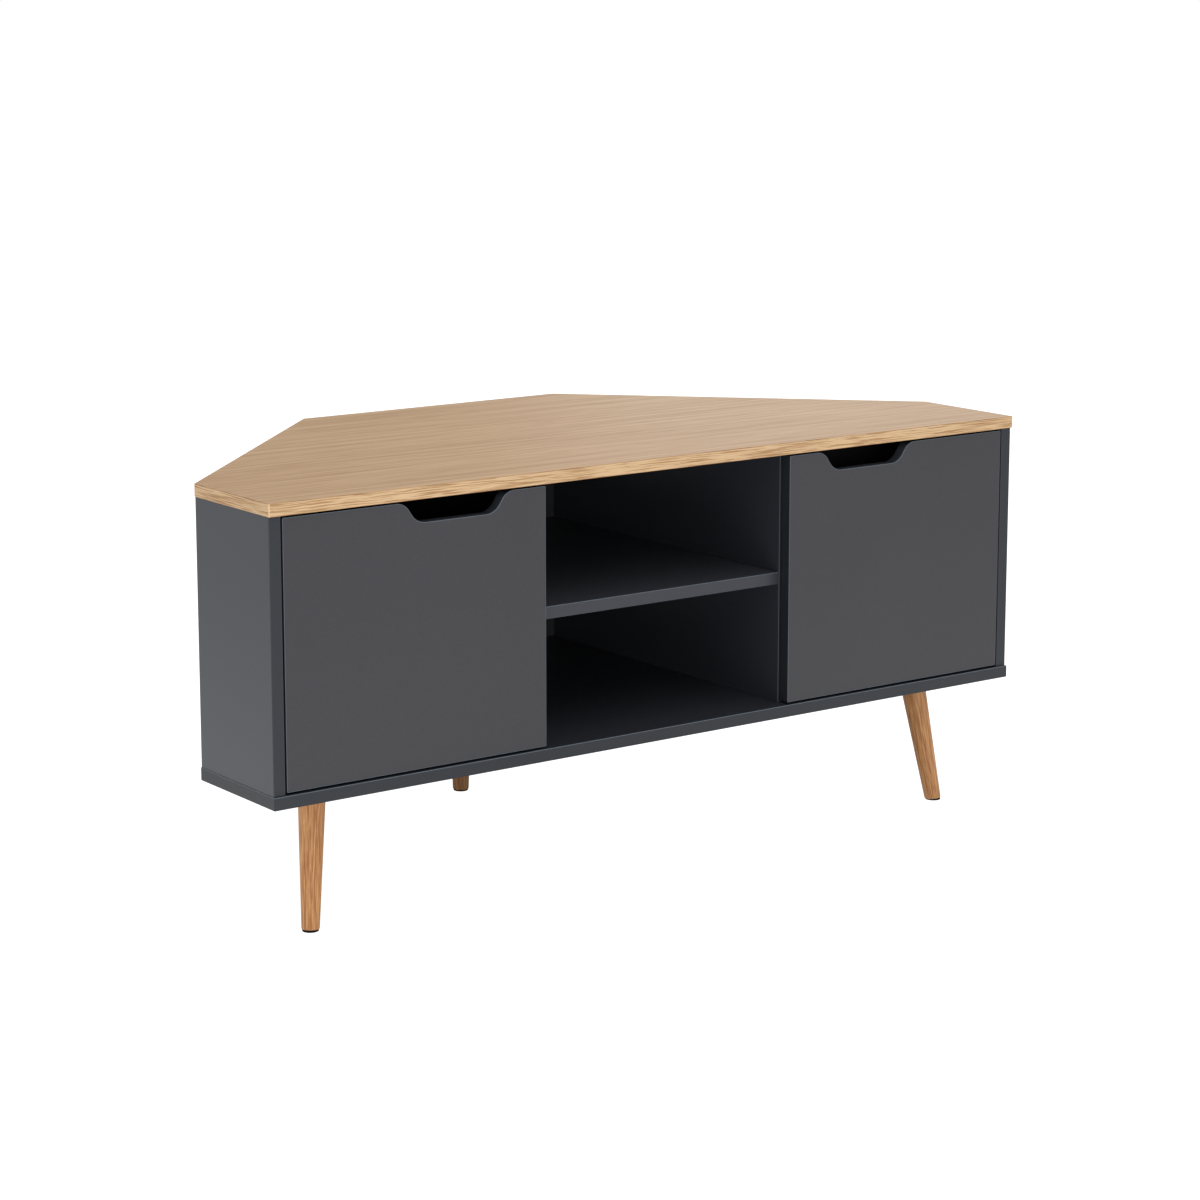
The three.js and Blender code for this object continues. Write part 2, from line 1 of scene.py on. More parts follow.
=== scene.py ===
# %% [markdown]
# # A corner TV cabinet
#
# This lesson dresses a low cabinet that stands across the corner of a room: a dark body under an
# oak top, two hinged doors beside an open bay, and three turned legs. Its boards, hinges and bolts
# come in as a fixed frame, in metres, with every piece in its real place. The frame could simply be
# painted, but its round faces are faceted and its edges are plain chamfers. So each piece that
# shows is modelled afresh, at the size of the node that it stands for.

# %% Load the frame
import contextlib
import json
import math

import bmesh
import bpy
from mathutils import Matrix, Vector


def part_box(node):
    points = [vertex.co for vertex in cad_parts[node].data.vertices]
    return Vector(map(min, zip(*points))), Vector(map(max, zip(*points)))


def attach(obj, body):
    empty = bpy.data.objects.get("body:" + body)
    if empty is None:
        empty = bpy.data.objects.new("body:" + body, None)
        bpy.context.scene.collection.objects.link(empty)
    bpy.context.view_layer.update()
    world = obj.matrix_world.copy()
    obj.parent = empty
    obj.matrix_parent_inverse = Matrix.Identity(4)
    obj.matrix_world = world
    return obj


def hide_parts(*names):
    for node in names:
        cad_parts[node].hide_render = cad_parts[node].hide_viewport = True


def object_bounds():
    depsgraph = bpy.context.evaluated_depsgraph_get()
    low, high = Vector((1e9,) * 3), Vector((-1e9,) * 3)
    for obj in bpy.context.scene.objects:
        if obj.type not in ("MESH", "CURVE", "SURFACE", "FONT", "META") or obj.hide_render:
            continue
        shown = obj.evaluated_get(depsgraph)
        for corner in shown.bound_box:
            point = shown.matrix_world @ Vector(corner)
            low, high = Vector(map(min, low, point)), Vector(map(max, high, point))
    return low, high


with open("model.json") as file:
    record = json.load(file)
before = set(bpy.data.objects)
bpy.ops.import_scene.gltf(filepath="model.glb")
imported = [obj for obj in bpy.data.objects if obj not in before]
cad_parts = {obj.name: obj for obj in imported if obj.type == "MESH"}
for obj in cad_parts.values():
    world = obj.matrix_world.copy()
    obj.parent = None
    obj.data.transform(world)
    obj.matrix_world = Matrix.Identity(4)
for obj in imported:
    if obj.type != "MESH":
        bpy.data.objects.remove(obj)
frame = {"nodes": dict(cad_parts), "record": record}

MM = 0.001
cad_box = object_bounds()
scene = bpy.context.scene
bodies = frame["record"]["behaviour"]["bodies"]
body_of = {node: body for body, nodes in bodies.items() for node in nodes}
print(len(frame["nodes"]), "nodes ride on", sorted(bodies))

# %% [markdown]
# ## The camera
#
# The picture that this cabinet follows was taken from its left, at about twice its height, with a
# long lens. A level camera with a large shift would keep the uprights parallel, but it would push
# the cabinet out of the frame in every other view. A slight tilt with a small shift comes within a
# few pixels of it, and works from all sides. Heading and tilt are in degrees, the lens is in mm.

# %% Place the camera
CAMERA_PLACE = Vector((-2.220, -3.140, 1.091))
CAMERA_HEADING = 36.266
CAMERA_TILT = 10.444
FOCAL_LENGTH = 93.54
LENS_SHIFT = -0.06

lens = bpy.data.cameras.new("camera")
lens.lens = FOCAL_LENGTH
lens.shift_y = LENS_SHIFT
camera = bpy.data.objects.new("camera", lens)
camera.location = CAMERA_PLACE
camera.rotation_euler = (math.radians(90 - CAMERA_TILT), 0, -math.radians(CAMERA_HEADING))
scene.collection.objects.link(camera)
scene.camera = camera
print("camera", round(CAMERA_PLACE.length, 2), "m from the cabinet")

# %% [markdown]
# ## A class for shader maths
#
# A finish is a tree of nodes, and most of them only add or multiply. Written out one by one they
# hide the idea, so `Value` wraps a socket and lets Python's own signs add the Math nodes. `Finish`
# holds one material: its `node` method makes any other node, from its settings and its sockets.

# %% Wrap the sockets
class Value:
    """A shader socket that can stand in a sum."""

    def __init__(self, finish, socket):
        self.finish = finish
        self.socket = socket

    def sum(self, operation, first, second):
        return self.finish.node("ShaderNodeMath", {"operation": operation}, {0: first, 1: second})

    def __add__(self, other):
        return self.sum("ADD", self, other)

    def __sub__(self, other):
        return self.sum("SUBTRACT", self, other)

    def __rsub__(self, other):
        return self.sum("SUBTRACT", other, self)

    def __mul__(self, other):
        return self.sum("MULTIPLY", self, other)

    __radd__ = __add__
    __rmul__ = __mul__

    def step(self, low, high):
        """0 below low, 1 above high, and smooth between them."""
        return self.finish.node("ShaderNodeMapRange", {"interpolation_type": "SMOOTHSTEP"},
                                {"Value": self, "From Min": low, "From Max": high})


class Finish:
    """A material on the Principled shader, with constants for the shader's sockets."""

    def __init__(self, name, **constants):
        self.material = bpy.data.materials.new(name)
        self.material.use_nodes = True
        self.tree = self.material.node_tree
        self.shader = self.tree.nodes["Principled BSDF"]
        for socket, value in constants.items():
            self.shader.inputs[socket.replace("_", " ")].default_value = value

    def feed(self, socket, value):
        if isinstance(value, Value):
            self.tree.links.new(value.socket, socket)
        else:
            socket.default_value = value

    def node(self, kind, settings, sockets, output=0):
        made = self.tree.nodes.new(kind)
        for name, setting in settings.items():
            setattr(made, name, setting)
        for name, value in sockets.items():
            self.feed(made.inputs[name], value)
        return Value(self, made.outputs[output])

    def place(self):
        return self.node("ShaderNodeTexCoord", {}, {}, "Object")

    def noise(self, place, per_metre, detail=2.0, seed=0.0):
        """Soft noise from 0 to 1, with so many features per metre along x, y and z."""
        sized = self.node("ShaderNodeMapping", {},
                          {0: place, "Location": (seed,) * 3, "Scale": per_metre})
        return self.node("ShaderNodeTexNoise", {},
                         {"Vector": sized, "Scale": 1.0, "Detail": detail})

    def moved(self, place, x=0.0, y=0.0):
        """A place shifted by values that may vary over the surface."""
        shift = self.node("ShaderNodeCombineXYZ", {}, {"X": x, "Y": y})
        return self.node("ShaderNodeVectorMath", {"operation": "ADD"}, {0: place, 1: shift})

    def mix(self, factor, first, second):
        """The first colour where the factor is 0 and the second where it is 1."""
        return self.node("ShaderNodeMix", {"data_type": "RGBA"},
                         {0: factor, 6: first, 7: second}, 2)

    def paint(self, tint, roughness=None, bump=None, depth=None):
        """Feeds what varies to the shader; bump is a height from 0 to 1 of that depth."""
        self.feed(self.shader.inputs["Base Color"], tint)
        if roughness is not None:
            self.feed(self.shader.inputs["Roughness"], roughness)
        if bump is not None:
            normal = self.node("ShaderNodeBump", {},
                               {"Height": bump, "Distance": depth, "Strength": 1.0})
            self.feed(self.shader.inputs["Normal"], normal)
        return self.material


def colour(red, green, blue):
    """A picture's colour, 0 to 255, as the light that a shader works in."""
    def light(level):
        level /= 255
        return level / 12.92 if level <= 0.04045 else ((level + 0.055) / 1.055) ** 2.4
    return (light(red), light(green), light(blue), 1.0)


def shaded(tint, share):
    """A colour made darker, or lighter where the share is above 1."""
    return tuple(min(1.0, share * channel) for channel in tint[:3]) + (1.0,)


def grey(level):
    return (level, level, level, 1.0)


print("mid grey is", round(colour(128, 128, 128)[0], 3), "in light")

# %% [markdown]
# ## The stage
#
# The cabinet stands on a pale floor in a white studio. The curved sweep that product photographers
# use would hide it from behind, so the floor is flat, and glows. The camera sees room and floor
# white, but what they give to the cabinet is set apart from that: the floor is dark under the
# cabinet, as a real one would be, and bright around it, so that the side panels mirror a soft
# gradient. Four soft boxes add the rest: one above, two from the front and one behind.

# %% World and floor
scene.view_settings.view_transform = "Standard"

ROOM_LIGHT = 0.63
GLOW_UNDER = 0.13
GLOW_NEAR = 1.22
GLOW_FAR = 0.8
SHADE_FADES = (0.3, 0.65)
GLOW_FADES = (1.0, 2.0)
FLOOR_REACH = 30.0

world = bpy.data.worlds.new("studio")
world.use_nodes = True
room = world.node_tree
walls = room.nodes["Background"]
walls.inputs["Color"].default_value = (1, 1, 1, 1)
walls.inputs["Strength"].default_value = ROOM_LIGHT
backdrop = room.nodes.new("ShaderNodeBackground")
backdrop.inputs["Color"].default_value = (1, 1, 1, 1)
seen = room.nodes.new("ShaderNodeLightPath")
choice = room.nodes.new("ShaderNodeMixShader")
room.links.new(seen.outputs["Is Camera Ray"], choice.inputs[0])
room.links.new(walls.outputs[0], choice.inputs[1])
room.links.new(backdrop.outputs[0], choice.inputs[2])
room.links.new(choice.outputs[0], room.nodes["World Output"].inputs["Surface"])
scene.world = world

bpy.ops.mesh.primitive_plane_add(size=2 * FLOOR_REACH)
floor = bpy.context.object
floor.name = "floor"
sweep = Finish("sweep", Emission_Strength=1.0, Roughness=0.8)
dust = sweep.noise(sweep.place(), (3, 3, 3))
reach = sweep.node("ShaderNodeVectorMath", {"operation": "LENGTH"}, {0: sweep.place()}, "Value")
glow = sweep.mix(reach.step(*SHADE_FADES), grey(GLOW_UNDER), grey(GLOW_NEAR))
glow = sweep.mix(reach.step(*GLOW_FADES), glow, grey(GLOW_FAR))
in_view = sweep.node("ShaderNodeLightPath", {}, {}, "Is Camera Ray")
sweep.feed(sweep.shader.inputs["Emission Color"], sweep.mix(in_view, glow, grey(1.0)))
floor.data.materials.append(sweep.paint(sweep.mix(dust, grey(0.28), grey(0.32))))
print("floor of", 2 * FLOOR_REACH, "m")

# %% Lamps
# place, size in metres and power in watts
LAMPS = {
    "top lamp": ((-0.2, -0.4, 3.4), 2.4, 18.5),
    "front top lamp": ((-0.3, -2.2, 2.8), 1.6, 9.7),
    "low left lamp": ((-1.3, -3.1, 0.6), 1.0, 17),
    "back lamp": ((3.4, 3.4, 1.4), 1.6, 13),
}
middle = (cad_box[0] + cad_box[1]) / 2

for name, (place, size, power) in LAMPS.items():
    light = bpy.data.lights.new(name, "AREA")
    light.size = size
    light.energy = power
    box = bpy.data.objects.new(name, light)
    box.location = place
    box.rotation_euler = (middle - Vector(place)).to_track_quat("-Z", "Y").to_euler()
    scene.collection.objects.link(box)
print(len(LAMPS), "lamps face the middle of the cabinet")

# %% [markdown]
# ## Oak for the top
#
# The top is particle board under an oak printed foil. Its grain runs along the cabinet: long faint
# streaks some millimetres wide, with shorter flecks and fine dashes between them, over slow clouds
# of tone. Rings would look like a plank sawn from a log, so it is all noise that is stretched along
# x, with a slow drift so that no line runs quite straight.

# %% Oak foil
foil = Finish("oak_foil", Specular_IOR_Level=0.4)
place = foil.place()
drift = foil.noise(place, (1.6, 7, 7)) - 0.5
ripple = foil.noise(place, (12, 30, 30), seed=3.0) - 0.5
grain = foil.moved(place, y=0.02 * drift + 0.002 * ripple)
clouds = foil.noise(place, (1.2, 6, 6), seed=5.0)
streaks = foil.noise(grain, (2, 130, 130))
flecks = foil.noise(grain, (9, 170, 170), seed=6.0)
dashes = foil.noise(grain, (24, 420, 420), seed=7.0)
pores = foil.noise(grain, (50, 1500, 1500), seed=9.0).step(0.60, 0.74)
tone = 0.45 * streaks + 0.2 * flecks + 0.25 * dashes + 0.1 * clouds
wood = foil.mix(tone.step(0.38, 0.62), colour(176, 136, 93), colour(204, 168, 126))
wood = foil.mix(0.3 * pores, wood, colour(120, 88, 62))
oak_foil = foil.paint(wood, 0.5 + 0.12 * (dashes - 0.5), dashes - 0.6 * pores, 0.03 * MM)
print("oak foil takes", len(oak_foil.node_tree.nodes), "nodes")

# %% [markdown]
# The edge band is a strip of its own with a livelier figure: fine honey and tan lines that sink a
# little from left to right. It follows the edge round the corners, which Object coordinates can't
# do, so the top gets a map in metres, with u along the edge and v up it. The band has three tones:
# the strip itself, paler faces on its rounded upright corners, and the brown arris over and under
# it.

# %% Oak edge band
BAND_SLOPE = 0.008


def oak_band(name, pale, deep):
    band = Finish(name, Specular_IOR_Level=0.3)
    place = band.node("ShaderNodeUVMap", {"uv_map": "grain"}, {})
    along = band.node("ShaderNodeSeparateXYZ", {}, {"Vector": place}, "X")
    sway = band.noise(place, (18, 60, 1)) - 0.5
    curl = band.noise(place, (60, 160, 1), seed=2.0) - 0.5
    grain = band.moved(place, y=BAND_SLOPE * along + 0.003 * sway + 0.0008 * curl)
    lines = band.noise(grain, (17, 760, 1), seed=4.0)
    threads = band.noise(grain, (36, 1400, 1), seed=7.0)
    clouds = band.noise(place, (9, 40, 1), seed=6.0)
    pores = band.noise(grain, (120, 2200, 1), seed=8.0).step(0.6, 0.72)
    tone = (0.65 * lines + 0.2 * threads + 0.15 * clouds).step(0.42, 0.53)
    wood = band.mix(0.35 * pores, band.mix(tone, deep, pale), colour(140, 96, 58))
    return band.paint(wood, 0.56 + 0.1 * (lines - 0.5), lines - 0.5 * pores, 0.03 * MM)


oak_band_edge = oak_band("oak_band", colour(206, 174, 134), colour(162, 123, 83))
# A paler band on the rounded upright corners of the top.
oak_band_seam = oak_band("oak_band_seam", colour(232, 200, 160), colour(204, 168, 126))
oak_band_arris = oak_band("oak_band_arris", colour(182, 142, 100), colour(150, 110, 74))
print("band lines sink", round(BAND_SLOPE * 1000), "mm in a metre")

# %% [markdown]
# ## Anthracite melamine
#
# Body and doors are faced with a satin dark grey melamine. From a step away it is one even grey, so
# a flat colour is tempting, but up close the press plate leaves a fine pearl in it, and hands leave
# slow patches of a different gloss. Both are noise: fine for the bump, slow for the roughness. Side
# panels and shelf are a little lighter than the rest, as painted light. Bands are darker, and door
# rims and divider fronts darker still, as painted shade. The arrises that face the light are pale,
# as a painted highlight. The walls of the hand cut-outs are painted.

# %% Melamine, its bands and its arrises
PEARL = 0.012 * MM


def melamine(name, base, roughness):
    board = Finish(name, Specular_IOR_Level=0.28)
    place = board.place()
    patches = board.noise(place, (5, 5, 5), detail=3.0)
    mottle = board.noise(place, (70, 70, 70), seed=3.0)
    grit = board.noise(place, (1100, 1100, 1100), seed=6.0)
    tone = 0.2 * patches + 0.1 * mottle + 0.7 * grit
    facing = board.mix(tone.step(0.3, 0.7), shaded(base, 0.9), shaded(base, 1.12))
    gloss = roughness + 0.08 * (patches - 0.5) + 0.02 * (mottle - 0.5)
    return board.paint(facing, gloss, grit, PEARL)


dark_face = melamine("dark_face", colour(49, 51, 57), 0.36)
# side_painted_light: the same melamine a little lighter, as painted light on the side panels and
# the shelf's front edge
side_painted_light = melamine("side_painted_light", colour(55, 57, 63), 0.36)
# shelf_painted_light: lighter again, as painted light on the shelf and a painted highlight on the
# dividers' bay arrises
shelf_painted_light = melamine("shelf_painted_light", colour(62, 64, 70), 0.4)
dark_door = melamine("dark_door", colour(58, 58, 62), 0.38)
dark_band = melamine("dark_band", colour(43, 46, 51), 0.5)
# rim_painted_shade: darker, as painted shade in the gaps round the doors and on the divider fronts
# behind them
rim_painted_shade = melamine("rim_painted_shade", colour(35, 38, 43), 0.5)
# arris_painted_highlight: a pale grey, as a painted highlight on the arrises that face the light
arris_painted_highlight = melamine("arris_painted_highlight", colour(93, 103, 111), 0.42)
cutout_paint = melamine("cutout_paint", colour(52, 55, 62), 0.5)
dark_back = melamine("dark_back", colour(54, 54, 57), 0.5)
print(len(bpy.data.materials), "materials so far")

# %% [markdown]
# Where no band hides it, the particle board shows: on the rear edges of the uprights and the shelf.
# Voronoi cells make its chips, each with a tan of its own. The cable holes show the brown fibre of
# the thin back board, which is plain fine noise.

# %% Bare board
core = Finish("particle_board", Specular_IOR_Level=0.3)
place = core.place()
chips = core.node("ShaderNodeTexVoronoi", {}, {"Vector": place, "Scale": 420.0}, "Color")
shade = core.node("ShaderNodeSeparateColor", {}, {"Color": chips})
fibre = core.noise(place, (900, 900, 900))
wood = core.mix(0.6 * shade + 0.4 * fibre, colour(118, 92, 62), colour(196, 164, 120))
particle_board = core.paint(wood, 0.8 + 0.1 * (fibre - 0.5), shade, 0.15 * MM)

core = Finish("fibre_board", Specular_IOR_Level=0.3)
fibre = core.noise(core.place(), (700, 1400, 700), detail=4.0)
wood = core.mix(fibre, colour(86, 62, 42), colour(128, 96, 66))
fibre_board = core.paint(wood, 0.8 + 0.1 * (fibre - 0.5), fibre, 0.1 * MM)
print("made", particle_board.name, "and", fibre_board.name)

# %% [markdown]
# ## Oak for the legs
#
# The legs are turned from solid oak, oiled to a warm brown. Their grain runs down the leg, and two
# of them lean, so a Mapping node of the Texture kind first turns the place into the leg's own
# frame, with z along its axis. Streaks, short dashes, pores and a slow change of tone are all
# stretched along it. Each leg is also darkened by a painted shade of its own, the rear leg most, as
# it stands in the shade under the cabinet.

# %% Leg oak
def leg_oak(name, top, foot, seed, shade):
    """Oak along a leg; a shade below 1 darkens the whole leg, as painted shade."""
    wood = Finish(name, Specular_IOR_Level=0.3)
    turn = (foot - top).to_track_quat("Z", "Y").to_euler()
    place = wood.node("ShaderNodeMapping", {"vector_type": "TEXTURE"},
                      {0: wood.place(), "Location": top, "Rotation": turn})
    sway = wood.noise(place, (25, 25, 6), seed=seed) - 0.5
    grain = wood.moved(place, x=0.0015 * sway, y=0.001 * sway)
    clouds = wood.noise(grain, (90, 90, 4), seed=seed + 2)
    streaks = wood.noise(grain, (800, 800, 6), seed=seed + 4)
    dashes = wood.noise(grain, (1200, 1200, 18), seed=seed + 5)
    pores = wood.noise(grain, (1700, 1700, 70), seed=seed + 6).step(0.56, 0.7)
    tone = (0.2 * clouds + 0.5 * streaks + 0.3 * dashes).step(0.38, 0.62)
    dark, light, deep = [shaded(colour(*levels), shade)
                         for levels in ((160, 103, 58), (214, 160, 105), (118, 72, 40))]
    oak = wood.mix(0.35 * pores, wood.mix(tone, dark, light), deep)
    return wood.paint(oak, 0.5 + 0.12 * (streaks - 0.5), streaks - 0.6 * pores, 0.06 * MM)


# %% [markdown]
# ## Metal, plastic and rubber
#
# The hinges are nickel plated, the leg plates zinc plated and the cams bare die cast zinc: three
# greys that differ in their gloss more than in their colour. One function makes all of them, with
# long brushed noise for rolled sheet and round noise for a casting.

# %% Small finishes
def metal(name, tint, roughness, grain, depth):
    plate = Finish(name, Metallic=1.0)
    place = plate.place()
    scratches = plate.noise(place, grain, detail=3.0)
    bloom = plate.noise(place, (160, 160, 160), seed=4.0)
    steel = plate.mix(bloom.step(0.3, 0.7), shaded(tint, 0.8), tint)
    gloss = roughness + 0.2 * (scratches - 0.5) + 0.12 * (bloom - 0.5)
    return plate.paint(steel, gloss, scratches, depth)


nickel = metal("nickel", colour(205, 203, 198), 0.36, (900, 900, 60), 0.004 * MM)
zinc_plate = metal("zinc_plate", colour(196, 199, 200), 0.34, (300, 300, 300), 0.015 * MM)
zinc_cast = metal("zinc_cast", colour(158, 158, 160), 0.5, (700, 700, 700), 0.04 * MM)


def plastic(name, tint, roughness, wear, **constants):
    """A moulded finish, scuffed to the tint times the wear."""
    moulded = Finish(name, **constants)
    place = moulded.place()
    grit = moulded.noise(place, (1600, 1600, 1600))
    scuffs = moulded.noise(place, (240, 240, 240), detail=4.0, seed=5.0).step(0.55, 0.75)
    skin = moulded.mix(scuffs, tint, shaded(tint, wear))
    return moulded.paint(skin, roughness + 0.15 * scuffs, grit, 0.03 * MM)


glide_plastic = plastic("glide_plastic", colour(9, 9, 10), 0.7, 1.8, Specular_IOR_Level=0.12)
clear_rubber = plastic("clear_rubber", colour(200, 204, 206), 0.35, 0.8,
                       Transmission_Weight=0.55, IOR=1.42)
print(len(bpy.data.materials), "materials so far")

# %% [markdown]
# ## Tools for the bench
#
# Every piece starts as a primitive at its real size and place, and is then shaped in edit mode. The
# helpers here only wrap that habit: `editing` opens a piece with some faces or edges selected,
# `carve` and `weld` run a Boolean, and `ease` rounds the sharp edges that are left. `dress` ends
# the work on a piece: it smooths it, lays its finishes on and gives it the node's place.

# %% Primitives at their place
X, Y, Z = 0, 1, 2
ROUND, SMALL_ROUND, TINY_ROUND = 64, 32, 24


def activate(piece):
    bpy.ops.object.select_all(action="DESELECT")
    piece.select_set(True)
    bpy.context.view_layer.objects.active = piece


def settled(name):
    """Names the new primitive and moves its place into its mesh."""
    piece = bpy.context.object
    piece.name = piece.data.name = name
    bpy.ops.object.transform_apply(location=True, rotation=True, scale=True)
    return piece


def block(name, low, high):
    """A box between two opposite corners."""
    low, high = Vector(low), Vector(high)
    bpy.ops.mesh.primitive_cube_add(size=1, location=(low + high) / 2, scale=high - low)
    return settled(name)


def rod(name, start, end, radius, end_radius=None, sides=ROUND):
    """A round bar from one point to another, which may taper."""
    start, end = Vector(start), Vector(end)
    bpy.ops.mesh.primitive_cone_add(
        vertices=sides, radius1=radius, radius2=radius if end_radius is None else end_radius,
        depth=(end - start).length, location=(start + end) / 2,
        rotation=(end - start).to_track_quat("Z", "Y").to_euler())
    return settled(name)


def rod_along(axis, name, through, start, end, radius, sides=ROUND):
    """A round bar along an axis and through a point, from one height on that axis to another."""
    ends = [Vector(through), Vector(through)]
    ends[0][axis], ends[1][axis] = start, end
    return rod(name, *ends, radius, sides=sides)


# %% Edit mode, Booleans and edges
SHARP = math.radians(40)


@contextlib.contextmanager
def editing(piece, kind, chosen):
    """Opens a piece in edit mode with the edges or faces that pass a test selected."""
    activate(piece)
    bpy.ops.object.mode_set(mode="EDIT")
    bpy.ops.mesh.select_mode(type=kind)
    bpy.ops.mesh.select_all(action="DESELECT")
    mesh = bmesh.from_edit_mesh(piece.data)
    for part in mesh.edges if kind == "EDGE" else mesh.faces:
        if chosen(part):
            part.select_set(True)
    bmesh.update_edit_mesh(piece.data)
    yield
    bpy.ops.object.mode_set(mode="OBJECT")


def everything(part):
    return True


def runs_along(edge, axis):
    return abs((edge.verts[1].co - edge.verts[0].co).normalized()[axis]) > 0.999


def middle_of(edge):
    return (edge.verts[0].co + edge.verts[1].co) / 2


def round_edges(piece, chosen, offset, segments=3):
    with editing(piece, "EDGE", chosen):
        bpy.ops.mesh.bevel(offset=offset, segments=segments, affect="EDGES", profile=0.5)


def slice_off(piece, point, outward):
    """Cuts away what lies beyond a plane and closes the cut."""
    with editing(piece, "FACE", everything):
        bpy.ops.mesh.bisect(plane_co=point, plane_no=Vector(outward).normalized(),
                            use_fill=True, clear_outer=True)


def modify(piece, kind, **settings):
    """Adds a modifier, sets it and applies it."""
    modifier = piece.modifiers.new(kind, kind)
    for name, value in settings.items():
        setattr(modifier, name, value)
    activate(piece)
    bpy.ops.object.modifier_apply(modifier=modifier.name)


def carve(piece, *cutters, operation="DIFFERENCE"):
    for cutter in cutters:
        modify(piece, "BOOLEAN", operation=operation, solver="EXACT", object=cutter)
        bpy.data.objects.remove(cutter)
    return piece


def weld(piece, *others):
    return carve(piece, *others, operation="UNION")


def ease(piece, width):
    """Rounds every edge that is still sharp."""
    modify(piece, "BEVEL", width=width, segments=3, limit_method="ANGLE", angle_limit=SHARP)
    return piece


# %% Copies and the last touches
MIRROR = Matrix.Diagonal((-1, 1, 1, 1))
SLIVER = 0.001 * MM


def copied(piece, name, matrix):
    """A copy with its own mesh, moved by a matrix."""
    activate(piece)
    bpy.ops.object.duplicate()
    twin = bpy.context.object
    twin.name = twin.data.name = name
    twin.data.transform(matrix)
    if matrix.is_negative:
        with editing(twin, "FACE", everything):
            bpy.ops.mesh.normals_make_consistent(inside=False)
    return twin


def smooth(piece):
    """Drops slivers left by the cutters, then shades round faces softly and flat ones flat."""
    with editing(piece, "FACE", everything):
        bpy.ops.mesh.dissolve_degenerate(threshold=SLIVER)
    bpy.ops.object.shade_smooth_by_angle(angle=SHARP)
    modify(piece, "WEIGHTED_NORMAL", keep_sharp=True)


def dress(piece, body, base, coats=(), node=None):
    """Smooths a piece, lays a finish on it and coats on some faces of it, and makes it ride."""
    smooth(piece)
    for index, (finish, covers) in enumerate([(base, everything), *coats]):
        piece.data.materials.append(finish)
        for face in piece.data.polygons:
            if covers(face):
                face.material_index = index
    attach(piece, body)
    if node:
        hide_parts(node)


def tell(piece):
    """Prints a piece's size and how many faces it has."""
    size = [round(side * 1000, 1) for side in piece.dimensions]
    print(piece.name, size, "mm,", len(piece.data.polygons), "faces")


def dress_both(right, node, base, coats=()):
    """Dresses a piece drawn for the right side, and its mirror image for the left."""
    left = copied(right, right.name.replace("right", "left"), MIRROR)
    left_node = node.replace("right", "left")
    dress(right, body_of[node], base, coats, node)
    dress(left, body_of[left_node], base, coats, left_node)
    tell(right)


def extent(node):
    """A node's lowest corner, highest corner and middle."""
    low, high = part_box(node)
    return low, high, (low + high) / 2


# %% [markdown]
# ## The top and bottom panels
#
# Both are one board shape: a straight front, two short sides, and diagonals that run back to the
# wall edge. It could be drawn as a six sided outline and extruded. Sawing it is closer to how the
# board is made: a block of the full size loses its two rear corners to a plane each. Then come the
# rounded upright corners, the eased arrises and the grooves that take the thin back boards.

# %% Saw the panels
ARRIS = 0.7 * MM
CORNER = 1.2 * MM
FIT = 0.3 * MM
TOUCHING = 0.01 * MM
BACK_BOARDS = ("left_back_board", "right_back_board", "centre_back_board")
wall_edge_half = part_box("right_divider")[1].x


def groove_for(node):
    """A cutter a little fatter than a thin back board."""
    cutter = frame["nodes"][node].copy()
    cutter.data = cutter.data.copy()
    cutter.parent = None
    scene.collection.objects.link(cutter)
    with editing(cutter, "FACE", everything):
        bpy.ops.mesh.remove_doubles(threshold=TOUCHING)
        bpy.ops.transform.shrink_fatten(value=FIT, use_even_offset=True)
    return cutter


def panel(node):
    low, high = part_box(node)
    board = block(node + "_board", low, high)
    for side in (-1, 1):
        slice_off(board, (side * wall_edge_half, high.y, 0), (side, 1, 0))
    round_edges(board, lambda edge: runs_along(edge, Z), CORNER, segments=4)
    ease(board, ARRIS)
    carve(board, *[groove_for(back) for back in BACK_BOARDS])
    tell(board)
    return board


top_board = panel("top_panel")
bottom_board = panel("bottom_panel")

# %% [markdown]
# Strips of band laid on would meet in hairline gaps, so each panel stays whole, and its faces are
# sorted by normal and by area instead. The dark foil under the top is a guess.

# %% Band the panels
SMALL_FACE = 20 * MM * MM
ARRIS_FACE = 2000 * MM * MM


def unroll(piece):
    """A map in metres: u along each edge and v up it, or x and y on the flat faces."""
    grain = piece.data.uv_layers.new(name="grain")
    for face in piece.data.polygons:
        along = Vector((-face.normal.y, face.normal.x, 0))
        flat = along.length < 0.1
        along = Vector((1, 0, 0)) if flat else along.normalized()
        up = Vector((0, 1, 0)) if flat else Vector((0, 0, 1))
        for loop in face.loop_indices:
            point = piece.data.vertices[piece.data.loops[loop].vertex_index].co
            grain.data[loop].uv = (point.dot(along), point.dot(up))


def on_edge(face):
    return abs(face.normal.z) < 0.95


def on_corner(face):
    """True on the narrow rounded faces where two strips of band meet, apart from the back."""
    return abs(face.normal.z) < 0.5 and face.normal.y < 0.5 and face.area < SMALL_FACE


def is_arris(face):
    """True on the narrow rounded strips between a board's edges and its flat faces."""
    return face.area < ARRIS_FACE and 0.1 < abs(face.normal.z) < 0.995


# Only the upward arrises get the painted highlight, as they face the light.
def is_top_arris(face):
    return is_arris(face) and face.normal.z > 0


unroll(top_board)
dress(top_board, "carcass", oak_foil,
      [(dark_back, lambda face: face.normal.z < -0.9), (oak_band_edge, on_edge),
       (oak_band_arris, is_arris), (oak_band_seam, on_corner)], "top_panel")
# The bottom panel's upward arrises carry a painted highlight.
dress(bottom_board, "carcass", dark_face,
      [(dark_band, on_edge), (arris_painted_highlight, is_top_arris)], "bottom_panel")
print("seams:", sum(on_corner(face) for face in top_board.data.polygons), "faces")

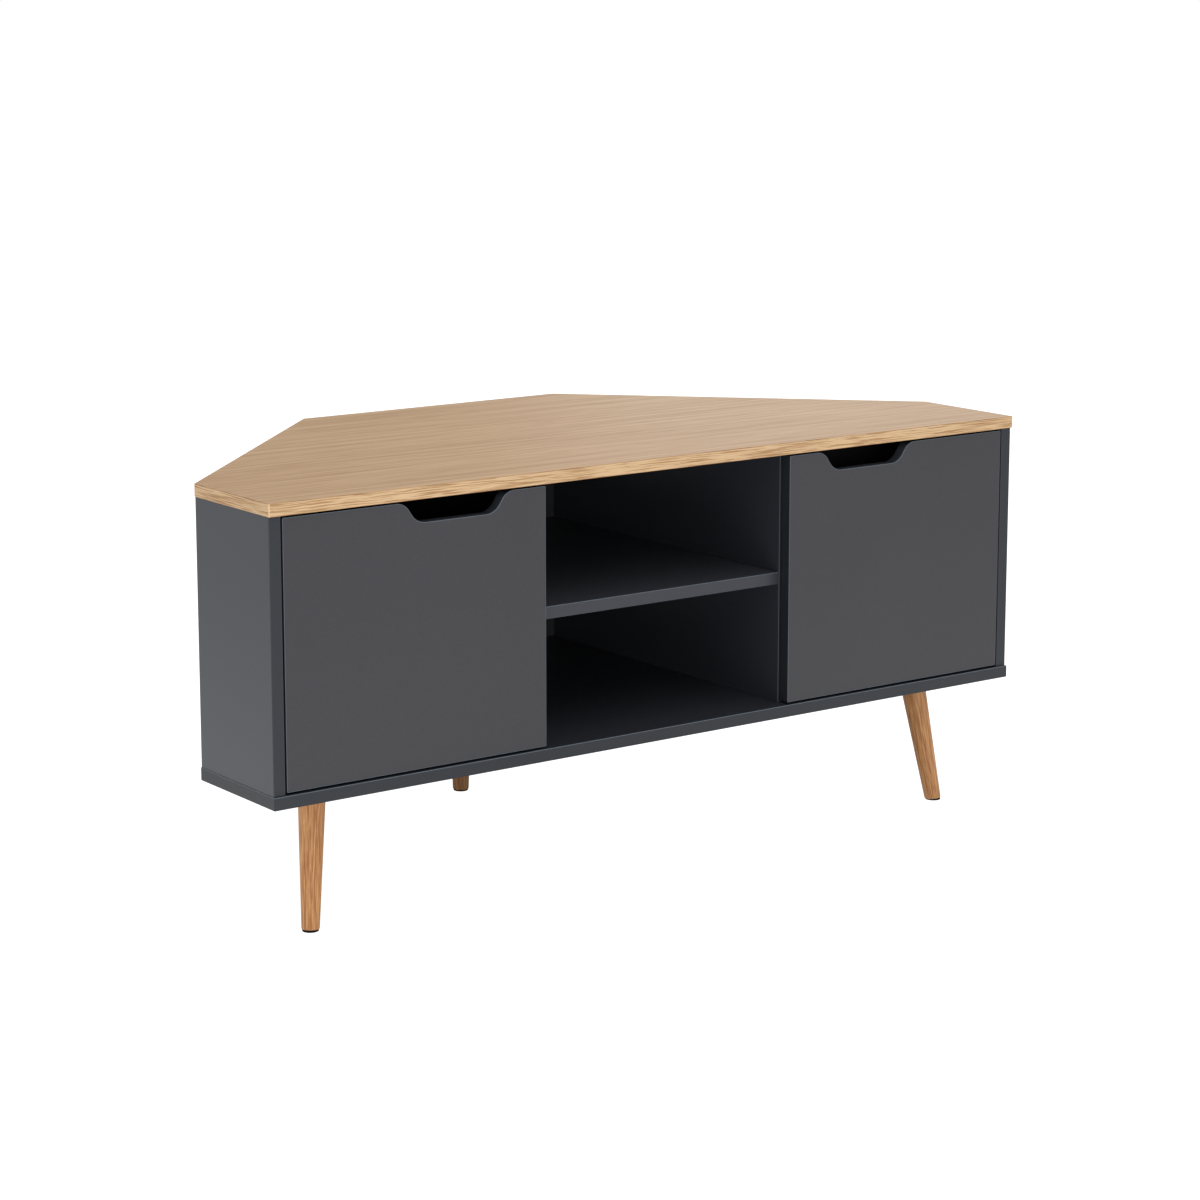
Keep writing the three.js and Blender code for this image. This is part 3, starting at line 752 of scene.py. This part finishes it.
# %% [markdown]
# ## The uprights and the shelf
#
# Side panels, dividers and shelf are plain boards with banded fronts. Their ends butt against the
# panels, so only the long edges are eased, or the joints would open into grooves. The dividers and
# side panels are bored for the cam locks and shelf pins: each bore is a rod at the place of its
# fitting, so the two can't drift apart.

# %% Bores for the fittings
def bore_for(node):
    """A cutter round a fitting that lies along x."""
    low, high, middle = extent(node)
    return rod_along(X, "bore", middle, low.x - FIT, high.x + FIT, (high.z - low.z) / 2 + FIT)


def is_bay_arris(face):
    """True on the rounded front edge of a divider that borders the bay."""
    toward_bay = -math.copysign(1, face.center.x) * face.normal.x
    return face.normal.y < -0.1 and 0.1 < toward_bay < 0.995


def board_coats(band):
    """Band in front, bare board behind and a painted highlight on the arrises on top."""
    return [(band, lambda face: face.normal.y < -0.99),
            (particle_board, lambda face: face.normal.y > 0.99), (arris_painted_highlight, is_top_arris)]


def upright(node, fittings):
    board = block(node + "_board", *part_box(node))
    round_edges(board, lambda edge: runs_along(edge, Z), ARRIS)
    return carve(board, *[bore_for(fitting) for fitting in fittings])


side_cams = [f"right_side_cam_lock_{i}" for i in (1, 2)]
divider_cams = [f"right_divider_cam_lock_{i}" for i in (1, 2, 3, 4)]
shelf_pins = [f"right_shelf_pin_{i}" for i in (1, 2)]

side_board = upright("right_side_panel", side_cams)
# The side panels are a lighter grey, as painted light.
dress_both(side_board, "right_side_panel", side_painted_light, board_coats(dark_band))

divider_board = upright("right_divider", divider_cams + shelf_pins)
carve(divider_board, groove_for("centre_back_board"))
# The divider fronts carry painted shade, and their bay arrises a painted highlight.
dress_both(divider_board, "right_divider", dark_face,
           board_coats(rim_painted_shade) + [(shelf_painted_light, is_bay_arris)])

# %% Shelf
shelf_board = block("centre_shelf_board", *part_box("centre_shelf"))
round_edges(shelf_board, lambda edge: runs_along(edge, X), ARRIS)
# The shelf and its front are lighter greys, as painted light, with a painted highlight on its top
# arris.
dress(shelf_board, "carcass", shelf_painted_light, board_coats(side_painted_light), "centre_shelf")
tell(shelf_board)

# %% [markdown]
# ## The back boards
#
# Three millimetres of faced fibre board close the back. The diagonal ones are plain sheets, so
# their CAD nodes stay and only get their finish. The middle one has a round hole for cables behind
# each half of the bay, and a rod of 64 sides cuts it rounder than the node's.

# %% Centre back board
CABLE_HOLE_RADIUS = 25 * MM


def in_hole(face):
    return abs(face.normal.y) < 0.5 and face.area < SMALL_FACE


back_low, back_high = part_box("centre_back_board")
bay_low, bay_high = [corner.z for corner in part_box("right_side_panel")]
shelf_low, shelf_high = [corner.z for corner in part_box("centre_shelf")]
hole_heights = [(bay_low + shelf_low) / 2, (shelf_high + bay_high) / 2]
back_board = block("centre_back_board_sheet", back_low, back_high)
carve(back_board, *[rod_along(Y, "cable_hole", (0, 0, z), back_low.y - FIT, back_high.y + FIT,
                              CABLE_HOLE_RADIUS) for z in hole_heights])
dress(back_board, "carcass", dark_back, [(fibre_board, in_hole)],
      "centre_back_board")
print("cable holes at", [round(z * 1000, 1) for z in hole_heights], "mm")

# %% [markdown]
# ## The doors
#
# Each door is a 15 mm board with a hand cut-out in its top edge: a shallow dish with sloped ends
# and soft corners. Its outline could be a curve, but two tools do it as a router would. A cutter
# with rounded lower corners takes out the dish, and then the two corners left at the door's top
# edge are rounded. A bevel's offset is the length along the face, so a radius is turned into it
# first.

# %% Cut the door
CUTOUT_WIDTH = 121.5 * MM
CUTOUT_DEPTH = 24.5 * MM
CUTOUT_FROM_FREE_EDGE = 123.5 * MM
CUTOUT_SLOPE = math.radians(34)
CUTOUT_LOW_RADIUS = 20 * MM
CUTOUT_TOP_RADIUS = 18 * MM
OVERRUN = 2 * MM
NEAR = 0.1 * MM

door_low, door_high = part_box("right_door")
cutout_middle = door_low.x + CUTOUT_FROM_FREE_EDGE
cutout_bottom = door_high.z - CUTOUT_DEPTH
corner_turn = math.radians(90) - CUTOUT_SLOPE


def bevel_offset(radius):
    return radius * math.tan(corner_turn / 2)


def half_width_at(height):
    """Half the width of the cut-out at a height above its bottom."""
    return CUTOUT_WIDTH / 2 + (height - CUTOUT_DEPTH / 2) * math.tan(CUTOUT_SLOPE)


low_half = half_width_at(0)
top_half = half_width_at(CUTOUT_DEPTH)
cutter_half = half_width_at(CUTOUT_DEPTH + OVERRUN)
cutter = block("cutout", (cutout_middle - low_half, door_low.y - OVERRUN, cutout_bottom),
               (cutout_middle + low_half, door_high.y + OVERRUN, door_high.z + OVERRUN))
with editing(cutter, "FACE", lambda face: face.normal.z > 0.9):
    bpy.ops.transform.resize(value=(cutter_half / low_half, 1, 1))
round_edges(cutter, lambda edge: runs_along(edge, Y) and middle_of(edge).z < cutout_bottom + MM,
            bevel_offset(CUTOUT_LOW_RADIUS), segments=12)

door_board = carve(block("right_door_board", door_low, door_high), cutter)


def is_cutout_corner(edge):
    middle = middle_of(edge)
    at_corner = abs(abs(middle.x - cutout_middle) - top_half) < NEAR
    return runs_along(edge, Y) and at_corner and middle.z > door_high.z - NEAR


def is_door_corner(edge):
    to_side = min(abs(middle_of(edge).x - x) for x in (door_low.x, door_high.x))
    return runs_along(edge, Y) and to_side < NEAR


round_edges(door_board, is_cutout_corner, bevel_offset(CUTOUT_TOP_RADIUS), segments=12)
round_edges(door_board, is_door_corner, CORNER, segments=4)
ease(door_board, ARRIS)
tell(door_board)

# %% Bore it for the cups and hang it
CUP_RADIUS = 17.5 * MM
CUP_RIM_RADIUS = 20 * MM
LEVELS = ("lower", "upper")


def on_rim(face):
    return abs(face.normal.y) < 0.3


def in_cutout(face):
    over_dish = abs(abs(face.center.x) - cutout_middle) < top_half
    return over_dish and face.center.z > cutout_bottom - MM


def on_door_arris(face):
    """True on the front arris, apart from the two sides that stand beside a shadow gap."""
    return -0.98 < face.normal.y < -0.05 and (abs(face.normal.x) < 0.5 or in_cutout(face))


def on_cutout_wall(face):
    return on_rim(face) and in_cutout(face)


for level in LEVELS:
    low, high, middle = extent(f"right_{level}_hinge_cup")
    carve(door_board, rod_along(Y, "cup_bore", middle, low.y - FIT, door_high.y + OVERRUN,
                                CUP_RADIUS + FIT))
# The door's rims carry painted shade, and its front arris a painted highlight.
dress_both(door_board, "right_door", dark_door,
           [(rim_painted_shade, on_rim), (cutout_paint, on_cutout_wall), (arris_painted_highlight, on_door_arris)])

# %% [markdown]
# ## Door stops
#
# Two clear rubber dots keep each door from knocking on its divider. A short rod with one rim
# rounded over makes the dot.

# %% Rubber dots
DOT_ROUNDING = 0.7 * MM

for level in LEVELS:
    node = f"right_{level}_door_bumper"
    low, high, middle = extent(node)
    dot = rod_along(Y, node + "_dot", middle, low.y, high.y, (high.z - low.z) / 2)
    crown = max(vertex.co.y for vertex in dot.data.vertices) - TOUCHING
    round_edges(dot, lambda edge: min(v.co.y for v in edge.verts) > crown, DOT_ROUNDING, segments=4)
    dress_both(dot, node, clear_rubber)

# %% [markdown]
# ## Screws
#
# Small pan head screws hold the hinges and the leg plates. They are too many and too small for the
# frame, so they are made here: one screw with a cross recess, pointing down z, and a copy with its
# own mesh at each place. The head is a rod whose rim is rounded; two thin blocks carve the recess.

# %% One screw
SCREW_HEAD_RADIUS = 3.2 * MM
SCREW_HEAD_HEIGHT = 1.4 * MM
SCREW_ROUNDING = 0.8 * MM
SCREW_SHANK_RADIUS = 1.7 * MM
SCREW_TIP_RADIUS = 0.3 * MM
SCREW_LENGTH = 12 * MM
RECESS_LENGTH = 3.8 * MM
RECESS_WIDTH = 0.8 * MM
RECESS_DEPTH = 0.9 * MM
OVERLAP = 0.3 * MM


def cross_cut(piece, length, width, face_z, depth):
    """Cuts a cross into the end of an upright rod."""
    for x, y in ((length / 2, width / 2), (width / 2, length / 2)):
        carve(piece, block("cross", (-x, -y, face_z - depth), (x, y, face_z + MM)))


screw = rod("screw", (0, 0, 0), (0, 0, SCREW_HEAD_HEIGHT), SCREW_HEAD_RADIUS, sides=SMALL_ROUND)
round_edges(screw, lambda edge: min(v.co.z for v in edge.verts) > 0.9 * SCREW_HEAD_HEIGHT,
            SCREW_ROUNDING)
weld(screw, rod("shank", (0, 0, -SCREW_LENGTH), (0, 0, OVERLAP), SCREW_TIP_RADIUS,
                SCREW_SHANK_RADIUS, TINY_ROUND))
cross_cut(screw, RECESS_LENGTH, RECESS_WIDTH, SCREW_HEAD_HEIGHT, RECESS_DEPTH)
tell(screw)


def drive_screw(name, seat, outward, body, finish):
    """Copies the screw so that its head stands on a seat and looks outward."""
    turn = Vector(outward).to_track_quat("Z", "Y").to_matrix().to_4x4()
    driven = copied(screw, name, Matrix.Translation(seat) @ turn)
    dress(driven, body, finish)


def drive_pair(label, seat, outward, finish, in_door=False):
    """Drives a hinge screw on the left side and on the right, from its place on the right."""
    for side, name in ((-1, "left"), (1, "right")):
        place, way = [(side * x, y, z) for x, y, z in (seat, outward)]
        body = f"{name}_door" if in_door else "carcass"
        drive_screw(f"{name}_{label}", place, way, body, finish)


# %% [markdown]
# ## The hinges
#
# A concealed hinge has a cup let into the door, an arm on the side panel and a plate under the arm.
# The cup is pressed from sheet: a bowl with a round rim and two wings. A solid of revolution alone
# has no wings, so a rod, a disc and a bar are welded, and a slimmer rod hollows them. Where two
# faces would share a plane, one of them moves by a hair, which a Boolean handles better.

# %% Cup
CUP_WALL = 0.8 * MM
CUP_WING_WIDTH = 20 * MM
CUP_WING_RADIUS = 4 * MM
CUP_SCREW_SPACING = 48 * MM
PRESSED_EDGE = 0.25 * MM
HAIR = 0.05 * MM


def hinge_cup(level):
    node = f"right_{level}_hinge_cup"
    low, high, middle = extent(node)
    seat = door_high.y + HAIR
    cup = block(node + "_steel", (middle.x - CUP_WING_WIDTH / 2, seat, low.z),
                (middle.x + CUP_WING_WIDTH / 2, high.y, high.z))
    round_edges(cup, lambda edge: runs_along(edge, Y), CUP_WING_RADIUS, segments=6)
    weld(cup, rod_along(Y, "rim", middle, seat, high.y, CUP_RIM_RADIUS),
         rod_along(Y, "bowl", middle, low.y, seat + OVERLAP, CUP_RADIUS))
    carve(cup, rod_along(Y, "hollow", middle, low.y + CUP_WALL, high.y + OVERRUN,
                         CUP_RADIUS - CUP_WALL))
    ease(cup, PRESSED_EDGE)
    dress_both(cup, node, nickel)
    for number, end in enumerate((-1, 1), 1):
        place = (middle.x, high.y, middle.z + end * CUP_SCREW_SPACING / 2)
        drive_pair(f"{level}_cup_screw_{number}", place, (0, 1, 0), nickel, in_door=True)


for level in LEVELS:
    hinge_cup(level)

# %% [markdown]
# The arm is one bent strip. Its centre line is followed by extruding the end edge of a plane from
# bend to bend; the bends are rounded while it is still a sheet, and Solidify then gives it the
# thickness of the steel. Two flanges, a knuckle round the pin and the eye through it finish it.

# %% Arm
ARM_SHEET = 2.2 * MM
ARM_FLANGE = 1.5 * MM
ARM_FLANGE_REACH = 7 * MM
ARM_BEND = 4 * MM
ARM_CLEARANCE = 1.8 * MM
NECK_REACH = 14 * MM
NECK_BEND = 3 * MM
BEND_ROUNDING = 1.2 * MM
KNUCKLE_RADIUS = 2.7 * MM
PIN_RADIUS = 1.5 * MM
ARM_SCREWS = {"adjusting": 0.3, "fixing": 0.78}


def arm_path(pin, web_x, start_y):
    """The bends of an arm seen from above, round the sweep of the door's edge and to the pin."""
    sweep_radius = math.hypot(door_high.x - pin.x, pin.y - door_low.y)
    cross_y = pin.y + sweep_radius + ARM_CLEARANCE + ARM_SHEET / 2
    neck_x = pin.x - NECK_REACH
    return [(web_x, start_y), (web_x, cross_y + ARM_BEND), (web_x - ARM_BEND, cross_y),
            (neck_x + ARM_BEND, cross_y), (neck_x, cross_y - ARM_BEND),
            (neck_x, pin.y + NECK_BEND), (neck_x + NECK_BEND, pin.y), (pin.x, pin.y)]


def bent_sheet(name, path, height, width):
    """An upright strip of sheet, so wide, that follows a path of bends at a height."""
    points = [Vector((*point, height)) for point in path]
    start, first = points[:2]

    def at_end(edge):
        return runs_along(edge, Z) and middle_of(edge).y < first.y + NEAR

    def at_bend(edge):
        return min((middle_of(edge) - bend).length for bend in points[1:-1]) < NEAR

    bpy.ops.mesh.primitive_plane_add(size=1, location=(start + first) / 2,
                                     rotation=(0, math.pi / 2, 0))
    bpy.context.object.scale = (width, (start - first).length, 1)
    strip = settled(name)
    with editing(strip, "EDGE", at_end):
        for before, after in zip(path[1:], path[2:]):
            step = (after[0] - before[0], after[1] - before[1], 0)
            bpy.ops.mesh.extrude_region_move(TRANSFORM_OT_translate={"value": step})
    round_edges(strip, at_bend, BEND_ROUNDING)
    modify(strip, "SOLIDIFY", thickness=ARM_SHEET, offset=0, use_even_offset=True)
    with editing(strip, "FACE", everything):
        bpy.ops.mesh.normals_make_consistent(inside=False)
    return strip


def hinge_arm(level):
    node = f"right_{level}_hinge_arm"
    low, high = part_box(node)
    pin = extent(f"right_{level}_hinge_pin")[2]
    plate_low, plate_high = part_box(f"right_{level}_hinge_plate")
    web_x = plate_low.x - FIT - ARM_SHEET / 2
    arm = bent_sheet(node + "_steel", arm_path(pin, web_x, high.y), pin.z, high.z - low.z)
    flange_x = plate_low.x + ARM_FLANGE_REACH - FIT
    for ends in ((low.z, low.z + ARM_FLANGE), (high.z - ARM_FLANGE, high.z)):
        weld(arm, block("flange", (web_x, plate_low.y, ends[0]), (flange_x, high.y, ends[1])))
    weld(arm, rod_along(Z, "knuckle", pin, low.z, high.z, KNUCKLE_RADIUS, SMALL_ROUND))
    carve(arm, rod_along(Z, "eye", pin, low.z - MM, high.z + MM, PIN_RADIUS + FIT, SMALL_ROUND))
    ease(arm, PRESSED_EDGE)
    dress_both(arm, node, nickel)
    for label, share in ARM_SCREWS.items():
        seat = (web_x - ARM_SHEET / 2, plate_low.y + share * (plate_high.y - plate_low.y), pin.z)
        drive_pair(f"{level}_arm_{label}_screw", seat, (-1, 0, 0), zinc_plate)


for level in LEVELS:
    hinge_arm(level)

# %% [markdown]
# The pin is a plain rod. The plate is a cross of sheet with a raised rail: three blocks welded, the
# two flat ones with rounded corners, and a screw in either wing.

# %% Pin and plate
PIN_EDGE = 0.3 * MM
PLATE_BASE = 2 * MM
PLATE_BODY_WIDTH = 16 * MM
PLATE_WING_WIDTH = 16 * MM
PLATE_RAIL_WIDTH = 9 * MM
PLATE_CORNER = 2 * MM
PLATE_SCREW_SPACING = 32 * MM


def plain_pin(axis, node, radius, edge, finish):
    low, high, middle = extent(node)
    pin = rod_along(axis, node + "_steel", middle, low[axis], high[axis], radius, SMALL_ROUND)
    dress_both(ease(pin, edge), node, finish)


def hinge_plate(level):
    node = f"right_{level}_hinge_plate"
    low, high, middle = extent(node)
    face_x = high.x + HAIR - PLATE_BASE
    plate = block(node + "_steel", (face_x, low.y, middle.z - PLATE_BODY_WIDTH / 2),
                  (high.x, high.y, middle.z + PLATE_BODY_WIDTH / 2))
    wings = block("wings", (face_x, middle.y - PLATE_WING_WIDTH / 2, low.z),
                  (high.x, middle.y + PLATE_WING_WIDTH / 2, high.z))
    rail = block("rail", (low.x, low.y, middle.z - PLATE_RAIL_WIDTH / 2),
                 (face_x + 2 * HAIR, high.y, middle.z + PLATE_RAIL_WIDTH / 2))
    for part in (plate, wings):
        round_edges(part, lambda edge: runs_along(edge, X), PLATE_CORNER, segments=5)
    weld(plate, wings, rail)
    ease(plate, PRESSED_EDGE)
    dress_both(plate, node, nickel)
    for number, end in enumerate((-1, 1), 1):
        seat = (face_x, middle.y, middle.z + end * PLATE_SCREW_SPACING / 2)
        drive_pair(f"{level}_plate_screw_{number}", seat, (-1, 0, 0), nickel)


for level in LEVELS:
    plain_pin(Z, f"right_{level}_hinge_pin", PIN_RADIUS, PIN_EDGE, nickel)
    hinge_plate(level)

# %% [markdown]
# ## Cams and shelf pins
#
# Twelve cast cams draw the boards together. Each is a short rod with a cross slot, flush with the
# face of its board. One is modelled at the origin, looking up z, and copied to every cam node; the
# side it looks to follows from which board it sits in. The shelf pins are rods with eased ends.

# %% Cams
CAM_RADIUS = 7.5 * MM
CAM_DEPTH = 12 * MM
CAM_SLOT_LENGTH = 10 * MM
CAM_SLOT_WIDTH = 2 * MM
CAM_SLOT_DEPTH = 3 * MM
FITTING_EDGE = 0.5 * MM

cam = rod("cam", (0, 0, -CAM_DEPTH), (0, 0, 0), CAM_RADIUS, sides=48)
ease(cam, FITTING_EDGE)
cross_cut(cam, CAM_SLOT_LENGTH, CAM_SLOT_WIDTH, 0, CAM_SLOT_DEPTH)

cam_nodes = sorted(node for node in body_of if "cam_lock" in node)
for node in cam_nodes:
    low, high, middle = extent(node)
    side = 1 if middle.x > 0 else -1
    way = -side if "side" in node else side
    face_x = high.x if way > 0 else low.x
    turn = Matrix.Rotation(way * math.pi / 2, 4, "Y")
    set_cam = copied(cam, node + "_cast", Matrix.Translation((face_x, middle.y, middle.z)) @ turn)
    dress(set_cam, "carcass", zinc_cast, node=node)
bpy.data.objects.remove(cam)
print(len(cam_nodes), "cams")

# %% Shelf pins
for node in shelf_pins:
    low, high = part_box(node)
    plain_pin(X, node, (high.z - low.z) / 2, FITTING_EDGE, zinc_plate)

# %% [markdown]
# ## The legs
#
# A leg is a long cone with a softly rounded foot, and a bolt hole down from its top. A lathe
# profile would do it as well, but a tapered primitive already has the form: an inset and an extrude
# sink the holes, and a bevel rounds the two rims. The axis runs from the middle of the leg plate to
# the spot where the foot meets the floor, so a leaning leg and an upright one are made alike. The
# foot is cut halfway between square and level, which leaves the glide as a thin dark rim under it.

# %% Wood and glide
LEG_TOP_RADIUS = 16.5 * MM
LEG_FOOT_RADIUS = 10.5 * MM
LEG_ROUNDING = 0.9 * MM
LEG_SPARE = 4 * MM
BOSS_HEIGHT = 8 * MM
BOLT_RADIUS = 4 * MM
BOLT_GRIP = 25 * MM
PAD_RADIUS = LEG_FOOT_RADIUS - LEG_ROUNDING
PAD_RISE = 1.9 * MM
PAD_SPARE = 8 * MM
PAD_EDGE = 0.25 * MM
NAIL_RADIUS = 1.2 * MM
NAIL_LENGTH = 12 * MM


def foot_cut(top, foot):
    """The leg's way down, the middle of the wood's lower end and the way that this end looks."""
    way = (foot - top).normalized()
    return way, foot + way * (PAD_RISE / way.z), (way + Vector((0, 0, -1))).normalized()


def leg_wood(name, top, foot, oak):
    way, seat, outward = foot_cut(top, foot)
    head = top + way * (BOSS_HEIGHT + FIT)
    tip = seat + way * LEG_SPARE
    taper = (LEG_FOOT_RADIUS - LEG_TOP_RADIUS) / (seat - top).length
    head_radius, tip_radius = [LEG_TOP_RADIUS + taper * (end - top).length for end in (head, tip)]
    wood = rod(f"{name}_leg_wood", head, tip, head_radius, tip_radius, sides=96)
    slice_off(wood, seat, outward)
    ends = ((-way, head_radius, BOLT_RADIUS + FIT, BOLT_GRIP),
            (outward, LEG_FOOT_RADIUS, NAIL_RADIUS + FIT, NAIL_LENGTH))
    for looks, radius, hole, depth in ends:
        with editing(wood, "FACE", lambda face: face.normal.dot(looks) > 0.999
                     and len(face.verts) > 8):
            bpy.ops.mesh.inset(thickness=radius - hole)
            sink = (way if looks == -way else -way) * (depth + FIT)
            bpy.ops.mesh.extrude_region_move(TRANSFORM_OT_translate={"value": sink})

    def is_rim(edge):
        return any(all(abs((v.co - end).dot(looks)) < HAIR
                       and (v.co - end).length > 0.98 * PAD_RADIUS for v in edge.verts)
                   for end, looks in ((head, way), (seat, outward)))

    round_edges(wood, is_rim, LEG_ROUNDING, segments=5)
    dress(wood, "carcass", oak, node=f"{name}_leg")
    print(name, "leg is", round((seat - head).length * 1000, 1), "mm of wood")


def leg_glide(name, top, foot):
    way, seat, outward = foot_cut(top, foot)
    pad = rod(f"{name}_glide_pad", seat - way * LEG_SPARE, seat + way * PAD_SPARE, PAD_RADIUS)
    slice_off(pad, seat + outward * FIT, -outward)
    slice_off(pad, (0, 0, 0), (0, 0, -1))
    ease(pad, PAD_EDGE)
    weld(pad, rod("nail", seat - way * NAIL_LENGTH, seat + way * (FIT + OVERLAP), NAIL_RADIUS,
                  sides=TINY_ROUND))
    dress(pad, "carcass", glide_plastic, node=f"{name}_glide")


# %% [markdown]
# The plate that carries a leg is a square of sheet with a leaning boss. It is drawn flat at the
# origin, where its corners are easy to round, then turned to the way that the leg leans and moved
# under the bottom panel. The boss starts well above the plate and is sliced level with its upper
# face, because a cut overlooks what lies within a tenth of a millimetre of it. Four screws hold it.

# %% Plate, boss and screws
PLATE_SIZE = 58 * MM
PLATE_THICKNESS = 2.5 * MM
PLATE_RADIUS = 6 * MM
PLATE_EDGE = 0.5 * MM
BOSS_RADIUS = 15 * MM
BOSS_ROOT = 4 * MM
LEG_SCREW_SPACING = 42 * MM


def leg_plate(name, top, foot):
    way = (foot - top).normalized()
    heading = math.atan2(way.y, way.x) if abs(way.z) < 0.9999 else 0.0
    half = PLATE_SIZE / 2
    plate = block(f"{name}_leg_plate_steel", (-half, -half, -PLATE_THICKNESS), (half, half, -HAIR))
    round_edges(plate, lambda edge: runs_along(edge, Z), PLATE_RADIUS, segments=8)
    place = Matrix.Translation(top) @ Matrix.Rotation(heading, 4, "Z")
    plate.data.transform(place)
    boss = rod("boss", top - way * BOSS_ROOT, top + way * BOSS_HEIGHT, BOSS_RADIUS)
    slice_off(boss, top - Vector((0, 0, HAIR)), (0, 0, 1))
    weld(plate, boss)
    ease(plate, PLATE_EDGE)
    carve(plate, rod("bolt_hole", top - way * BOSS_ROOT, top + way * (BOSS_HEIGHT + OVERRUN),
                     BOLT_RADIUS + FIT))
    dress(plate, "carcass", zinc_plate, node=f"{name}_leg_plate")
    for number, (i, j) in enumerate(((-1, -1), (-1, 1), (1, -1), (1, 1)), 1):
        offset = Vector((i, j, 0)) * LEG_SCREW_SPACING / 2
        seat = place @ (offset - Vector((0, 0, PLATE_THICKNESS)))
        drive_screw(f"{name}_leg_plate_screw_{number}", seat, (0, 0, -1), "carcass", zinc_plate)


# %% Make the three legs
# Painted shade on each leg: below 1 darkens it, most on the rear leg under the cabinet.
LEG_PAINTED_SHADES = {"front_left": 0.92, "front_right": 0.81, "rear": 0.66}
feet = {mount["name"]: Vector(mount["pos_m"]) for mount in frame["record"]["mounts"]}

for number, (name, shade) in enumerate(LEG_PAINTED_SHADES.items()):
    top = extent(f"{name}_leg_plate")[2]
    top.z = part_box("bottom_panel")[0].z
    foot = Vector((top.x, top.y, 0)) if name == "rear" else feet[f"{name}_foot"]
    oak = leg_oak(f"{name}_leg_oak", top, foot, 10.0 * number, shade)
    leg_wood(name, top, foot, oak)
    leg_glide(name, top, foot)
    leg_plate(name, top, foot)
bpy.data.objects.remove(screw)

# %% [markdown]
# ## What stays from the frame
#
# The diagonal back boards and the hanger bolts keep their CAD meshes, which already have the right
# shape. They only change their finish.

# %% Repaint the nodes that stay
new_finish = {f"{side}_back_board": dark_back for side in ("left", "right")}
new_finish.update({f"{leg}_hanger_bolt": zinc_plate for leg in LEG_PAINTED_SHADES})
for node, finish in new_finish.items():
    kept = frame["nodes"][node]
    kept.data.materials.clear()
    kept.data.materials.append(finish)
print(len(new_finish), "nodes keep their mesh")
